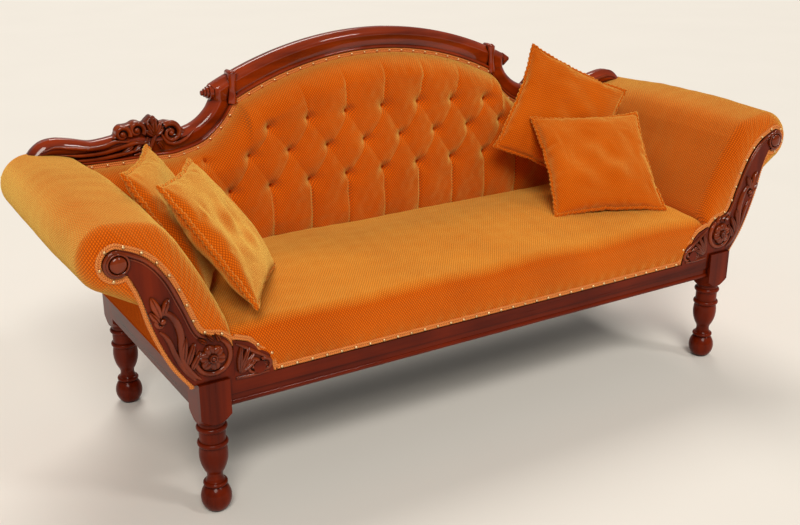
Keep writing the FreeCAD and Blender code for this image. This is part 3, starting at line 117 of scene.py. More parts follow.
class Graph:
    """The node tree of one material, with its shader and output in place."""

    def __init__(self, name: str) -> None:
        """Make an empty material that holds one principled shader.

        Args:
            name: The material's name.
        """
        self.material = bpy.data.materials.new(name)
        self.material.use_nodes = True
        self.tree = self.material.node_tree
        self.tree.nodes.clear()
        output = self.tree.nodes.new("ShaderNodeOutputMaterial")
        self.shader = self.tree.nodes.new("ShaderNodeBsdfPrincipled")
        self.tree.links.new(self.shader.outputs["BSDF"], output.inputs["Surface"])

    def add(self, kind: str, settings: dict, inputs: dict, out: Union[str, int] = 0) -> Wire:
        """Add a node, set its properties, then feed its sockets.

        Args:
            kind: The node's type name.
            settings: Properties by name.
            inputs: Values or wires by socket name or number.
            out: The output to return.

        Returns:
            The chosen output as a wire.
        """
        node = self.tree.nodes.new(kind)
        for key, value in settings.items():
            setattr(node, key, value)
        for key, value in inputs.items():
            self.feed(node.inputs[key], value)
        return Wire(self, node.outputs[out])

    def feed(self, socket: bpy.types.NodeSocket, value: object) -> None:
        """Link a wire to a socket, or set the socket's own value.

        Args:
            socket: The socket of a node.
            value: A wire or a plain value.
        """
        if isinstance(value, Wire):
            self.tree.links.new(value.socket, socket)
        else:
            socket.default_value = value

    def math(self, operation: str, first: Term, second: Term) -> Wire:
        """One Math node on two values."""
        return self.add("ShaderNodeMath", {"operation": operation}, {0: first, 1: second})

    def mix(self, share: Term, first: object, second: object) -> Wire:
        """A colour between two colours.

        Args:
            share: 0 for the first, 1 for the second.
            first: A colour or a wire.
            second: A colour or a wire.

        Returns:
            The mixed colour.
        """
        colours = [(*one, 1.0) if isinstance(one, tuple) else one for one in (first, second)]
        settings = {"data_type": "RGBA", "clamp_factor": True}
        return self.add("ShaderNodeMix", settings, {0: share, 6: colours[0], 7: colours[1]}, 2)

    def noise(self, vector: Wire, scale: float, detail: float) -> Wire:
        """Noise of about 0 to 1 over a vector."""
        return self.add("ShaderNodeTexNoise", {}, {"Vector": vector, "Scale": scale, "Detail": detail}, "Fac")

    def place(self) -> Wire:
        """Object coordinates."""
        return self.add("ShaderNodeTexCoord", {}, {}, "Object")

    def axes(self, vector: Wire) -> list[Wire]:
        """The three coordinates of a vector, one by one."""
        outputs = self.add("ShaderNodeSeparateXYZ", {}, {0: vector}).socket.node.outputs
        return [Wire(self, one) for one in outputs]

    def upward(self) -> Wire:
        """How far the surface faces up: 1 on top, 0 on an upright side."""
        return self.axes(self.add("ShaderNodeTexCoord", {}, {}, "Normal"))[2]

    def stretched(self, scale: tuple[float, float, float]) -> Wire:
        """Object coordinates scaled along each axis."""
        return self.add("ShaderNodeMapping", {}, {"Vector": self.place(), "Scale": scale})

    def cloth_axes(self) -> tuple[Wire, Wire]:
        """The two cloth coordinates of the piece, in metres."""
        across, along, _ = self.axes(self.add("ShaderNodeUVMap", {"uv_map": WEAVE}, {}, "UV"))
        return across, along

    def bump(self, height: Wire, strength: float, distance: float) -> None:
        """Feed a height to the shader's normal through a bump node."""
        inputs = {"Height": height, "Strength": strength, "Distance": distance}
        self.feed(self.shader.inputs["Normal"], self.add("ShaderNodeBump", {}, inputs))

    def dress(self, **values: object) -> Material:
        """Set the shader's sockets by name, with spaces written as underscores, and give the material.

        Args:
            values: Wires or plain values by socket.

        Returns:
            The finished material.
        """
        for key, value in values.items():
            if isinstance(value, tuple) and len(value) == 3:
                value = (*value, 1.0)
            self.feed(self.shader.inputs[key.replace("_", " ")], value)
        return self.material


# Finishes


class Grain(Enum):
    """The axis along which wood grain runs."""

    X = (0.06, 1.0, 1.0)
    Y = (1.0, 0.06, 1.0)
    Z = (1.0, 1.0, 0.06)


@dataclass(frozen=True)
class Polish:
    """Dark red polished hardwood: streaked grain, fine pores, dark stain and painted shade in the hollows, a
    clear coat.
    """

    name: str = "polish"
    dark: Colour = (0.042, 0.0028, 0.0003)
    warm: Colour = (0.255, 0.0215, 0.0010)
    grain: Grain = Grain.Z
    coat: float = 0.18
    hollow: float = 0.010
    stain_and_shade: Colour = (0.012, 0.0012, 0.0002)
    streaks: float = 30.0
    pores: float = 260.0
    clouds: float = 7.0
    gloss: float = 0.22
    pore_depth: float = 0.0006

    def material(self) -> Material:
        """Grain is noise stretched along one axis; pores are the same noise at a finer scale.

        Ambient occlusion darkens what lies closer than hollow to other wood towards a near-black colour:
        partly dark stain, partly painted shade.

        Returns:
            The new material.
        """
        graph = Graph(self.name + "_" + self.grain.name.lower())
        along = graph.stretched(self.grain.value)
        streak = graph.noise(along, self.streaks, 5.0)
        pore = graph.noise(along, self.pores, 2.0)
        cloud = graph.noise(graph.place(), self.clouds, 2.0)
        share = (streak * 1.5 - 0.35) * 0.75 + (cloud - 0.4) * 0.5
        # Painted shade, with some real dark stain: ambient occlusion darkens the colour where wood lies close
        # to other wood.
        free = graph.add("ShaderNodeAmbientOcclusion", {"samples": 6}, {"Distance": self.hollow}, "AO")
        clear = free * 1.9 - 0.75
        colour = graph.mix(clear, self.stain_and_shade, graph.mix(share, self.dark, self.warm))
        graph.bump(pore, 0.05, self.pore_depth)
        return graph.dress(Base_Color=colour, Roughness=self.gloss + streak * 0.16, Coat_Weight=self.coat,
                           Coat_Roughness=0.03, Specular_IOR_Level=0.05)


@dataclass(frozen=True)
class Chenille:
    """Soft orange pile woven in small diamonds, with a pale nap, and, when asked, a painted golden sheen
    where the surface faces up.
    """

    name: str = "chenille"
    deep: Colour = (0.270, 0.020, 0.0006)
    bright: Colour = (0.900, 0.165, 0.0050)
    nap: Colour = (1.0, 0.80, 0.19)
    cell: float = 0.0068
    weave: float = 1.0
    sheen: float = 1.0
    relief: float = 0.0016
    lean: float = 0.75
    fuzz_scale: float = 900.0
    painted_sheen: float = 0.0
    painted_sheen_deep: Colour = (0.365, 0.090, 0.0060)
    painted_sheen_bright: Colour = (0.985, 0.410, 0.0400)

    def material(self) -> Material:
        """Diamonds are the lesser of two sines along the diagonals, without sign.

        The nap drifts with slow noise. The painted golden sheen grows as the surface turns up, and drifts
        too.

        Returns:
            The new material.
        """
        graph = Graph(self.name)
        across, along = graph.cloth_axes()
        turn = math.pi / self.cell
        fuzz = graph.noise(graph.place(), self.fuzz_scale, 2.0)
        wander = (graph.noise(graph.place(), 60.0, 2.0) - 0.5) * 0.9
        first = ((across + along * self.lean) * turn + wander).sine().absolute()
        second = ((across - along * self.lean) * turn + wander).sine().absolute()
        diamond = graph.math("MINIMUM", first, second) ** 0.6
        drift = graph.noise(graph.place(), 5.0, 3.0)
        pile = (diamond - 0.62) * self.weave + (fuzz - 0.5) * 0.50 + (drift - 0.5) * 0.35 + 0.50
        colour = graph.mix(pile, self.deep, self.bright)
        # Painted golden sheen: the base colour turns paler and golden as the surface faces up, standing in
        # for the light on the top.
        if self.painted_sheen > 0.0:
            sheen_lit_colour = graph.mix(pile, self.painted_sheen_deep, self.painted_sheen_bright)
            painted_sheen_share = (graph.upward() * 2.2 - 1.2 + (drift - 0.5) * 0.6) * self.painted_sheen
            colour = graph.mix(painted_sheen_share, colour, sheen_lit_colour)
        graph.bump(diamond + fuzz * 0.6, 0.6, self.relief)
        return graph.dress(Base_Color=colour, Roughness=0.92, Sheen_Weight=self.sheen,
                           Sheen_Roughness=0.46, Sheen_Tint=self.nap, Specular_IOR_Level=0.0)


@dataclass(frozen=True)
class Braid:
    """Flat gimp: two rows of cord loops that lean opposite ways."""

    shade: Colour = (0.44, 0.085, 0.010)
    light: Colour = (0.95, 0.330, 0.055)
    pitch: float = 0.0052

    def material(self) -> Material:
        """Loops are sines that lean to each side of the middle line.

        Returns:
            The new material.
        """
        graph = Graph("gimp_braid")
        across, along = graph.cloth_axes()
        turn = 2.0 * math.pi / self.pitch
        loops = ((along + across.absolute() * 0.9) * turn).sine()
        fuzz = graph.noise(graph.place(), 1200.0, 2.0)
        share = loops * 0.38 + fuzz * 0.35 + 0.28
        graph.bump(loops + fuzz * 0.5, 0.6, 0.0008)
        return graph.dress(Base_Color=graph.mix(share, self.shade, self.light), Roughness=0.75,
                           Sheen_Weight=0.3, Sheen_Roughness=0.4, Sheen_Tint=(1.0, 0.7, 0.3))


@dataclass(frozen=True)
class Metal:
    """A rubbed metal whose tarnish lies in patches."""

    name: str
    bright: Colour
    dull: Colour
    rough: float
    patches: float = 90.0

    def material(self) -> Material:
        """Tarnish is noise that mixes two tones and two roughnesses.

        Returns:
            The new material.
        """
        graph = Graph(self.name)
        patch = graph.noise(graph.place(), self.patches, 4.0)
        colour = graph.mix(patch * 1.6 - 0.3, self.bright, self.dull)
        return graph.dress(Base_Color=colour, Metallic=1.0, Roughness=self.rough + patch * 0.2)


@dataclass(frozen=True)
class Lumber:
    """Plain planed hardwood inside the frame."""

    pale: Colour = (0.50, 0.34, 0.19)
    brown: Colour = (0.33, 0.20, 0.10)

    def material(self) -> Material:
        """Grain is noise stretched along X.

        Returns:
            The new material.
        """
        graph = Graph("frame_lumber")
        grain = graph.noise(graph.stretched(Grain.X.value), 70.0, 5.0)
        graph.bump(grain, 0.1, 0.0008)
        return graph.dress(Base_Color=graph.mix(grain, self.brown, self.pale), Roughness=0.62)


@dataclass(frozen=True)
class PlainWeave:
    """A plain weave of crossed threads, such as jute or lining."""

    name: str
    dark: Colour
    light: Colour
    pitch: float

    def material(self) -> Material:
        """Threads are the product of a sine along X and a sine along Y.

        Returns:
            The new material.
        """
        graph = Graph(self.name)
        across, along, _ = graph.axes(graph.place())
        turn = 2.0 * math.pi / self.pitch
        warp = (across * turn).sine()
        weft = (along * turn).sine()
        fuzz = graph.noise(graph.place(), 400.0, 3.0)
        share = warp * weft * 0.4 + fuzz * 0.6 + 0.2
        graph.bump(share, 0.4, 0.0008)
        return graph.dress(Base_Color=graph.mix(share, self.dark, self.light), Roughness=0.9)


# Mesh tools


class Patchwork:
    """Points, faces and cloth coordinates of one piece, gathered patch by patch."""

    def __init__(self) -> None:
        """Start with no patch."""
        self.points: list[Array] = []
        self.quads: list[Array] = []
        self.rings: list[Array] = []
        self.cloth: list[Array] = []
        self.count = 0

    def grid(self, points: Array, cloth: Optional[Array] = None) -> Array:
        """Add a grid of points with a quad in each cell.

        Args:
            points: An array of rows, columns and three coordinates.
            cloth: Two cloth coordinates for each point; worked out by length if left out.

        Returns:
            The index of each point, by row and column.
        """
        points = np.asarray(points, float)
        if cloth is None:
            cloth = lengths(points)
        rows, columns = points.shape[:2]
        index = self.count + np.arange(rows * columns).reshape(rows, columns)
        corners = [index[:-1, :-1], index[:-1, 1:], index[1:, 1:], index[1:, :-1]]
        self.points.append(points.reshape(-1, 3))
        self.cloth.append(np.asarray(cloth, float).reshape(-1, 2))
        self.quads.append(np.stack(corners, axis=-1).reshape(-1, 4))
        self.count += rows * columns
        return index

    def cap(self, loop: Array) -> None:
        """Add one face on a closed loop of point indices."""
        self.rings.append(np.asarray(loop, int))

    def solid(self, points: Array, cloth: Optional[Array] = None) -> None:
        """Add a closed form: rows of closed rings, with a face on each end ring that has a width.

        Args:
            points: An array of rows, columns and three coordinates; in each row the last point is the first.
            cloth: Two cloth coordinates for each point, or none.
        """
        index = self.grid(points, cloth)
        for row in (0, -1):
            if np.ptp(np.asarray(points)[row], axis=0).max() > 1e-5:
                self.cap(index[row, :-1])

    def build(self, name: str, sharp: float = 50.0) -> Piece:
        """Make the mesh object, with its seams welded and its faces turned outwards.

        Args:
            name: The object's name.
            sharp: Edges that bend more than this, in degrees, stay sharp.

        Returns:
            The new object, linked to the scene.
        """
        points = np.concatenate(self.points)
        cloth = np.concatenate(self.cloth)
        quads = np.concatenate(self.quads)
        corners = np.concatenate([quads.ravel()] + self.rings).astype(np.int32)
        totals = np.concatenate([np.full(len(quads), 4)] + [np.array([len(one)]) for one in self.rings])
        starts = np.concatenate([[0], np.cumsum(totals)[:-1]]).astype(np.int32)
        mesh = bpy.data.meshes.new(name)
        mesh.vertices.add(len(points))
        mesh.vertices.foreach_set("co", points.astype(np.float32).ravel())
        mesh.loops.add(len(corners))
        mesh.loops.foreach_set("vertex_index", corners)
        mesh.polygons.add(len(totals))
        mesh.polygons.foreach_set("loop_start", starts)
        mesh.update(calc_edges=True)
        layer = mesh.uv_layers.new(name=WEAVE)
        layer.data.foreach_set("uv", cloth[corners].astype(np.float32).ravel())
        mesh.polygons.foreach_set("use_smooth", np.ones(len(totals), bool))
        weld(mesh)
        mesh.validate()
        mesh.set_sharp_from_angle(angle=math.radians(sharp))
        piece = bpy.data.objects.new(name, mesh)
        bpy.context.scene.collection.objects.link(piece)
        return piece


def weld(mesh: bpy.types.Mesh) -> None:
    """Join points that coincide and turn the faces of each closed shell outwards.

    Args:
        mesh: The mesh, changed in place.
    """
    work = bmesh.new()
    work.from_mesh(mesh)
    bmesh.ops.remove_doubles(work, verts=work.verts, dist=2e-6)
    bmesh.ops.dissolve_degenerate(work, edges=work.edges, dist=1e-7)
    bmesh.ops.recalc_face_normals(work, faces=work.faces)
    work.to_mesh(mesh)
    work.free()


def lengths(points: Array) -> Array:
    """Cloth coordinates of a grid: the mean length so far along the rows and along the columns.

    Args:
        points: The grid's points.

    Returns:
        Two coordinates for each point.
    """
    down = np.linalg.norm(np.diff(points, axis=0), axis=2).mean(axis=1)
    over = np.linalg.norm(np.diff(points, axis=1), axis=2).mean(axis=0)
    first = np.concatenate([[0.0], np.cumsum(down)])
    second = np.concatenate([[0.0], np.cumsum(over)])
    return np.stack(np.meshgrid(second, first), axis=-1)


def run_along(line: Array) -> Array:
    """The length of a line up to each of its points."""
    return np.concatenate([[0.0], np.cumsum(np.linalg.norm(np.diff(line, axis=0), axis=1))])


def resampled(line: Array, count: int) -> Array:
    """The same line with evenly spaced points.

    Args:
        line: Points in order, of any dimension.
        count: How many points to return.

    Returns:
        The new points.
    """
    run = run_along(line)
    places = np.linspace(0.0, run[-1], count)
    return np.stack([np.interp(places, run, line[:, axis]) for axis in range(line.shape[1])], axis=1)


def smooth_line(knots: Sequence[Sequence[float]], count: int) -> Array:
    """A Catmull-Rom line: each stretch is the cubic whose ends take the slope between their neighbours.

    Args:
        knots: Points that the line passes through.
        count: How many points to return.

    Returns:
        Evenly spaced points.
    """
    knots = np.asarray(knots, float)
    padded = np.concatenate([[2 * knots[0] - knots[1]], knots, [2 * knots[-1] - knots[-2]]])
    p0, p1, p2, p3 = (padded[shift:len(padded) - 3 + shift][:, None, :] for shift in range(4))
    t = np.linspace(0.0, 1.0, 33)[None, :, None]
    cubic = 0.5 * (2 * p1 + (p2 - p0) * t + (2 * p0 - 5 * p1 + 4 * p2 - p3) * t ** 2
                   + (3 * p1 - p0 - 3 * p2 + p3) * t ** 3)
    return resampled(cubic.reshape(-1, knots.shape[1]), count)


def arc_line(centre: Sequence[float], radius: float, start: float, end: float, count: int) -> Array:
    """Points of a circle from one angle to another, in degrees."""
    turn = np.radians(np.linspace(start, end, count))
    return np.stack([centre[0] + radius * np.cos(turn), centre[1] + radius * np.sin(turn)], axis=1)


def side_ways(line: Array) -> Array:
    """Unit vectors square to a flat line, to its left.

    Args:
        line: Points in order.

    Returns:
        A vector for each point.
    """
    along = np.gradient(line, axis=0)
    along /= np.linalg.norm(along, axis=1, keepdims=True) + 1e-12
    return np.stack([-along[:, 1], along[:, 0]], axis=1)


def carried(line: Array, depth: Array, section: Array, grow: Array) -> Array:
    """A section carried along a line of the front view.

    Each point is the line's point, plus the section's first value along the line's left side, with the
    section's second value towards the front; grow scales both along the way.

    Args:
        line: Points (x, z) in order.
        depth: The y of the line at each point.
        section: Points (left, front) of the section.
        grow: A factor at each point of the line.

    Returns:
        A grid of points, a row for each point of the line.
    """
    left = side_ways(line)
    width = section[None, :, 0] * grow[:, None]
    front = section[None, :, 1] * grow[:, None]
    x = line[:, None, 0] + left[:, None, 0] * width
    z = line[:, None, 1] + left[:, None, 1] * width
    return np.stack([x, depth[:, None] - front, z], axis=-1)


def round_section(sides: int) -> Array:
    """A circle of radius 1, closed, as (left, front) points."""
    turn = np.linspace(0.0, 2 * np.pi, sides + 1)
    return np.stack([np.cos(turn), np.sin(turn)], axis=1)


def mirrored(points: Array) -> Array:
    """The same points on the other side of the sofa."""
    return points * np.array([-1.0, 1.0, 1.0])


def bead(t: Array, middle: float, half: float) -> Array:
    """A half-round bead of height 1 about a middle, zero outside it."""
    return np.sqrt(np.clip(1.0 - ((t - middle) / half) ** 2, 0.0, None))


class Axis(Enum):
    """The way that a turned piece points."""

    OUTWARDS = "outwards"
    FORWARDS = "forwards"


def lathe(profile: Array, centre: Sequence[float], sides: int, axis: Axis = Axis.FORWARDS) -> Array:
    """A profile of (height, radius) turned about an axis.

    Args:
        profile: Points (height along the axis, radius).
        centre: The foot of the axis.
        sides: Points round the turning.
        axis: The way that it points.

    Returns:
        A closed grid of points.
    """
    turn = np.linspace(0.0, 2 * np.pi, sides + 1)
    radius = profile[:, None, 1]
    first = radius * np.cos(turn)[None, :]
    second = radius * np.sin(turn)[None, :]
    height = np.repeat(profile[:, :1], sides + 1, axis=1)
    layout = {Axis.OUTWARDS: (height, first, second), Axis.FORWARDS: (first, -height, second)}
    return np.stack(layout[axis], axis=-1) + np.asarray(centre, float)


def twisted(count: int, turns: int, radius: float, swell: float) -> tuple[Array, Array]:
    """A twisted cord's angles, and its radius at each point: it swells twice round and turns as it goes.

    Args:
        count: Points along the cord.
        turns: Turns of the twist.
        radius: The mean radius.
        swell: The swelling as a share of the radius.

    Returns:
        Angles (1, n) and radii (count, n).
    """
    turn = np.linspace(0.0, 2 * np.pi, 13)[None, :]
    run = np.linspace(0.0, 2 * np.pi * turns, count)[:, None]
    return turn, radius * (1.0 + swell * np.cos(2 * turn - run))


def petal(root: Sequence[float], angle: float, length: float, width: float, height: float, front: float,
          curl: float = 0.0, vein: float = 0.35, taper: float = 0.5) -> Array:
    """A carved leaf or petal on the front of a board, closed behind.

    Along its length its half width is that of an ellipse, less a taper towards the tip. Its face stands up
    as a half round with a groove along the middle, and the line bends by curl.

    Args:
        root: The foot (x, z).
        angle: The way it points, in degrees from +X.
        length: From foot to tip.
        width: Widest half width.
        height: How proud it stands.
        front: The y of the board's front.
        curl: How far the tip turns to the left, as a share of the length.
        vein: Depth of the middle groove as a share of the height.
        taper: How much narrower the tip is; 0 gives a round end.

    Returns:
        A grid of points, a closed ring for each place along.
    """
    s = np.linspace(0.02, 0.995, 17)[:, None]
    q = np.linspace(-1.0, 1.0, 11)[None, :]
    half = width * np.sqrt(1.0 - (2 * s - 1) ** 2) * (1.0 - taper * s)
    side = half * q + curl * length * s ** 2
    swell = np.sqrt(1.0 - (1.94 * s - 0.97) ** 2) ** 0.7
    lift = height * swell * (np.sqrt(1.0 - 0.98 * q ** 2) - vein * np.exp(-(q / 0.22) ** 2))
    side = np.concatenate([side, side[:, -1:], side[:, :1], side[:, :1]], axis=1)
    sunk = np.full_like(lift[:, :1], -SUNK)
    lift = np.concatenate([lift, sunk, sunk, lift[:, :1]], axis=1)
    along = length * s + 0.0 * side
    turn = math.radians(angle)
    x = root[0] + along * math.cos(turn) - side * math.sin(turn)
    z = root[1] + along * math.sin(turn) + side * math.cos(turn)
    return np.stack([x, front - lift, z], axis=-1)


def plate(knots: Sequence[Sequence[float]], front: float, back: float) -> Array:
    """A flat board with a smooth closed outline and a softened front edge.

    Args:
        knots: Points (x, z) round the outline.
        front: The y of its front.
        back: The y of its back.

    Returns:
        A grid of points, a closed ring for each depth.
    """
    knots = np.asarray(knots, float)
    line = smooth_line(np.concatenate([knots[-2:], knots, knots[:3]]), 400)
    start = int(np.argmin(np.linalg.norm(line[:120] - knots[0], axis=1)))
    end = 200 + int(np.argmin(np.linalg.norm(line[200:] - knots[0], axis=1)))
    loop = resampled(np.concatenate([line[start:end], line[start:start + 1]]), 160)
    inner = loop + (loop.mean(axis=0) - loop) * 0.06
    rows = [(inner, front), (loop, front + 0.003), (loop, back - 0.002), (inner, back)]
    return np.stack([np.stack([line[:, 0], np.full(len(line), y), line[:, 1]], axis=1) for line, y in rows])


def scroll(centre: Sequence[float], radius: float, start: float, turns: float, thick: float,
           front: float) -> Array:
    """A carved volute: a tapering half-round rib on a spiral that closes in on its eye.

    Args:
        centre: The eye (x, z).
        radius: The spiral's radius where it starts.
        start: The angle where it starts, in degrees.
        turns: Turns to the eye, negative for clockwise.
        thick: Radius of the rib at the start.
        front: The y of the board's front.

    Returns:
        A grid of points.
    """
    s = np.linspace(0.0, 1.0, 60)
    reach = radius * (1.0 - s) ** 0.9 + thick * 0.15
    turn = np.radians(start) + 2 * np.pi * turns * s
    line = np.stack([centre[0] + reach * np.cos(turn), centre[1] + reach * np.sin(turn)], axis=1)
    return carried(line, np.full(60, front), round_section(10), thick * (1.0 - 0.55 * s))


def rib(knots: Sequence[Sequence[float]], thick: Sequence[float], front: float, count: int = 60) -> Array:
    """A carved half-round rib along a smooth line, whose radius follows given values.

    Args:
        knots: Points (x, z) that the line passes through.
        thick: Radii along the way.
        front: The y of the board's front.
        count: Points along the rib.

    Returns:
        A grid of points.
    """
    line = smooth_line(knots, count)
    grow = np.interp(np.linspace(0, 1, count), np.linspace(0, 1, len(thick)), thick)
    return carried(line, np.full(count, front), round_section(12), grow)


# Sizes


# Shares of the way (across, down) of the crest's edge from the arch to the wing
SWEEP = np.array([(0.0, 0.0), (0.16, 0.347), (0.371, 0.645), (0.6, 0.855), (1.0, 1.0)])


@dataclass(frozen=True)
class Sizes:
    """Places of the frame that the dressing follows, in metres."""

    leg_x: float = 0.7905
    block_top: float = 0.340
    rail_top: float = 0.327
    seat_base: float = 0.329
    facing_y: float = -0.342
    pad_front: float = -0.336
    pad_in: float = 0.735
    ring_x: float = 0.787
    ring_z: float = 0.400
    ring_radius: float = 0.048
    scroll_x: float = 0.976
    scroll_z: float = 0.652
    scroll_radius: float = 0.031
    roll_radius: float = 0.075
    crest_front: float = 0.3205
    crest_back: float = 0.3585
    inner_half: float = 0.425
    inner_top: float = 0.908
    inner_drop: float = 0.100
    shoulder_foot: float = 0.600
    back_edge: float = 0.318
    back_front: float = 0.225
    back_out: float = 0.3505
    wing_low: float = 0.684
    wing_end: float = 0.86

    def facing_line(self, out: float, count: int, end: float) -> Array:
        """The upper edge of the right facing, from the ring's side over the scroll.

        Args:
            out: How far outside the wood's edge the line runs.
            count: Points to return.
            end: The angle on the scroll where it stops, in degrees.

        Returns:
            Points (x, z).
        """
        shares = np.array([(0.0, 0.0), (0.153, 0.072), (0.296, 0.353), (0.476, 0.672), (0.698, 0.881),
                           (1.0, 1.0)])
        low = np.array([self.ring_x, self.ring_z + self.ring_radius])
        high = np.array([self.scroll_x, self.scroll_z + self.scroll_radius])
        rising = smooth_line(low + shares * (high - low), 60)
        rising = rising + side_ways(rising) * out
        ring = arc_line((self.ring_x, self.ring_z), self.ring_radius + out, 165.0, 92.0, 16)
        around = arc_line((self.scroll_x, self.scroll_z), self.scroll_radius + out, 88.0, end, 50)
        return resampled(np.concatenate([ring, rising[1:-1], around]), count)

    def outer_line(self, shift: float, count: int) -> Array:
        """The hollow outer edge of the arm from foot to scroll, moved inwards by shift.

        Args:
            shift: How far the line moves in.
            count: Points to return.

        Returns:
            Points (x, z).
        """
        shares = np.array([(0.0, 0.0), (0.34, 0.22), (0.64, 0.54), (0.80, 0.80), (1.0, 1.0)])
        foot = np.array([self.leg_x + 0.0435, self.block_top])
        turn = math.radians(235.0)
        end = np.array([self.scroll_x + self.scroll_radius * math.cos(turn),
                        self.scroll_z + self.scroll_radius * math.sin(turn)])
        return smooth_line(foot + shares * (end - foot) + np.array([-shift, shift / 2]), count)

    def crest_low(self, inset: float, count: int) -> Array:
        """The lower edge of the crest's right half, from the middle of the arch to the arm.

        Args:
            inset: How far below the edge the line runs.
            count: Points to return.

        Returns:
            Points (x, z).
        """
        middle = self.inner_top - inset
        end = np.array([self.inner_half - 0.6 * inset, middle - self.inner_drop + 0.2 * inset])
        drop = middle - end[1]
        radius = (end[0] ** 2 + drop ** 2) / (2 * drop)
        x = np.linspace(0.0, end[0], 40)
        arch = np.stack([x, middle - radius + np.sqrt(radius ** 2 - x ** 2)], axis=1)
        foot = np.array([self.shoulder_foot, self.wing_low - inset])
        sweep = smooth_line(end + SWEEP * (foot - end), 40)
        flat = np.array([[self.wing_end, foot[1]]])
        return resampled(np.concatenate([arch, sweep[1:], flat]), count)

    def arm_line(self, inset: float, count: int) -> Array:
        """The arm in front view from the seat up the slope and round the roll, drawn in by inset.

        Args:
            inset: How far inside the cover the line runs.
            count: Points to return.

        Returns:
            Points (x, z).
        """
        radius = self.roll_radius - inset
        low = np.array([[self.pad_in + inset, 0.425], [self.pad_in + inset, 0.455]])
        slope_top = np.array([self.scroll_x - 0.138 + 0.9 * inset, self.scroll_z + 0.016 - 0.4 * inset])
        start = np.array([self.pad_in + inset, 0.462])
        t = np.linspace(0.0, 1.0, 24)[:, None]
        slope = start + (slope_top - start) * t
        slope = slope + np.array([-0.894, 0.447]) * 0.005 * np.sin(np.pi * t)
        top = np.array([self.scroll_x, self.scroll_z + radius])
        bulge = slope_top + np.array([0.32, 0.72]) * (top - slope_top)
        shoulder = smooth_line([slope[-3], slope_top, bulge, top, top + np.array([0.02, -0.003])], 40)[4:-6]
        around = arc_line((self.scroll_x, self.scroll_z), radius, 84.0, -65.0, 40)
        return resampled(np.concatenate([low, slope[1:-3], shoulder, around]), count)


SIZES = Sizes()


@dataclass(frozen=True)
class Finishes:
    """The materials of the sofa, by use."""

    wood_x: Material
    wood_y: Material
    wood_z: Material
    carved: Material
    crest: Material
    cover: Material
    seat: Material
    cushion: Material
    shaded_cover: Material
    braid: Material
    brass: Material
    steel: Material
    lumber: Material
    jute: Material
    lining: Material


def mix_finishes() -> Finishes:
    """Make each material once.

    Returns:
        The materials by use.
    """
    return Finishes(
        wood_x=Polish(grain=Grain.X).material(),
        wood_y=Polish(grain=Grain.Y).material(),
        wood_z=Polish(grain=Grain.Z).material(),
        # A lighter copy of the polish for the carving: painted highlight on the raised work.
        carved=Polish("carved_polish", (0.060, 0.0052, 0.0004), (0.400, 0.0540, 0.0030),
                      coat=0.60).material(),
        crest=Polish("crest_polish", (0.080, 0.0062, 0.0004), (0.480, 0.0500, 0.0018), Grain.X,
                     coat=0.75).material(),
        cover=Chenille().material(),
        # The seat carries painted golden sheen on the faces that look up.
        seat=Chenille("seat_chenille", sheen=0.62, painted_sheen=0.52).material(),
        cushion=Chenille(name="cushion_chenille", bright=(0.930, 0.185, 0.0050), weave=0.85).material(),
        # A darker copy of the chenille for the outside arms and the buttons: painted shade.
        shaded_cover=Chenille("shade_painted_chenille", (0.20, 0.013, 0.0005), (0.66, 0.100, 0.0040), sheen=0.06).material(),
        braid=Braid().material(),
        brass=Metal("antique_brass", (1.0, 0.74, 0.40), (0.62, 0.32, 0.11), 0.26).material(),
        steel=Metal("drawn_steel", (0.60, 0.60, 0.61), (0.35, 0.34, 0.33), 0.25).material(),
        lumber=Lumber().material(),
        jute=PlainWeave("jute", (0.22, 0.15, 0.07), (0.52, 0.40, 0.22), 0.004).material(),
        lining=PlainWeave("black_lining", (0.008, 0.008, 0.009), (0.03, 0.03, 0.032), 0.0025).material(),
    )


@dataclass
class Upkeep:
    """What every sub-assembly does with a finished piece, and the materials that it takes."""

    finishes: Finishes

    @staticmethod
    def settle(piece: Piece, finish: Material, slot: str, nodes: Sequence[str],
               body: str = FRAME_BODY) -> Piece:
        """Give a piece its finish, its body and the nodes it stands for.

        Args:
            piece: The new object.
            finish: Its material.
            slot: Not used.
            nodes: CAD nodes that it replaces.
            body: The body that it rides on.

        Returns:
            The same object.
        """
        piece.data.materials.clear()
        piece.data.materials.append(finish)
        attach(piece, body)
        if nodes:
            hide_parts(*nodes)
        stood_for = ", ".join(nodes) or "nothing"
        LOG.info("%s: %d faces, replaces %s", piece.name, len(piece.data.polygons), stood_for)
        return piece

    def pair(self, name: str, grids: Sequence[Array], finish: Material, slot: str,
             nodes: Sequence[str] = (), sharp: float = 50.0) -> list[Piece]:
        """Build and dress a right-hand piece of closed forms and its left-hand twin.

        Args:
            name: The piece's name without its side.
            grids: The closed forms of the right-hand piece.
            finish: Its material.
            slot: Passed on to settle, which does not use it.
            nodes: CAD nodes that it replaces, without their side.
            sharp: Edges that bend more than this, in degrees, stay sharp.

        Returns:
            The right and the left object.
        """
        pieces = []
        for side, flip in (("right", False), ("left", True)):
            work = Patchwork()
            for one in grids:
                work.solid(mirrored(one) if flip else one)
            piece = work.build(side + "_" + name, sharp)
            pieces.append(self.settle(piece, finish, slot, [side + "_" + node for node in nodes]))
        return pieces


def paired(name: str) -> list[str]:
    """The left and right names of a pair of nodes."""
    return ["left_" + name, "right_" + name]


def ripple(points: Array, size: float, seed: int) -> Array:
    """A smooth uneven field of about -1 to 1: a scaled sum of sines of random ways and phases.

    Args:
        points: An array whose last axis holds coordinates.
        size: The typical wave length.
        seed: Start of the random draws.

    Returns:
        A value for each point.
    """
    draw = np.random.default_rng(SEED + seed)
    ways = draw.normal(size=(WAVES, points.shape[-1]))
    ways *= (2 * np.pi / size) / np.linalg.norm(ways, axis=1, keepdims=True)
    phase = draw.uniform(0, 2 * np.pi, WAVES)
    return np.sin(points @ ways.T + phase).sum(axis=-1) / math.sqrt(WAVES)


# Soft pieces


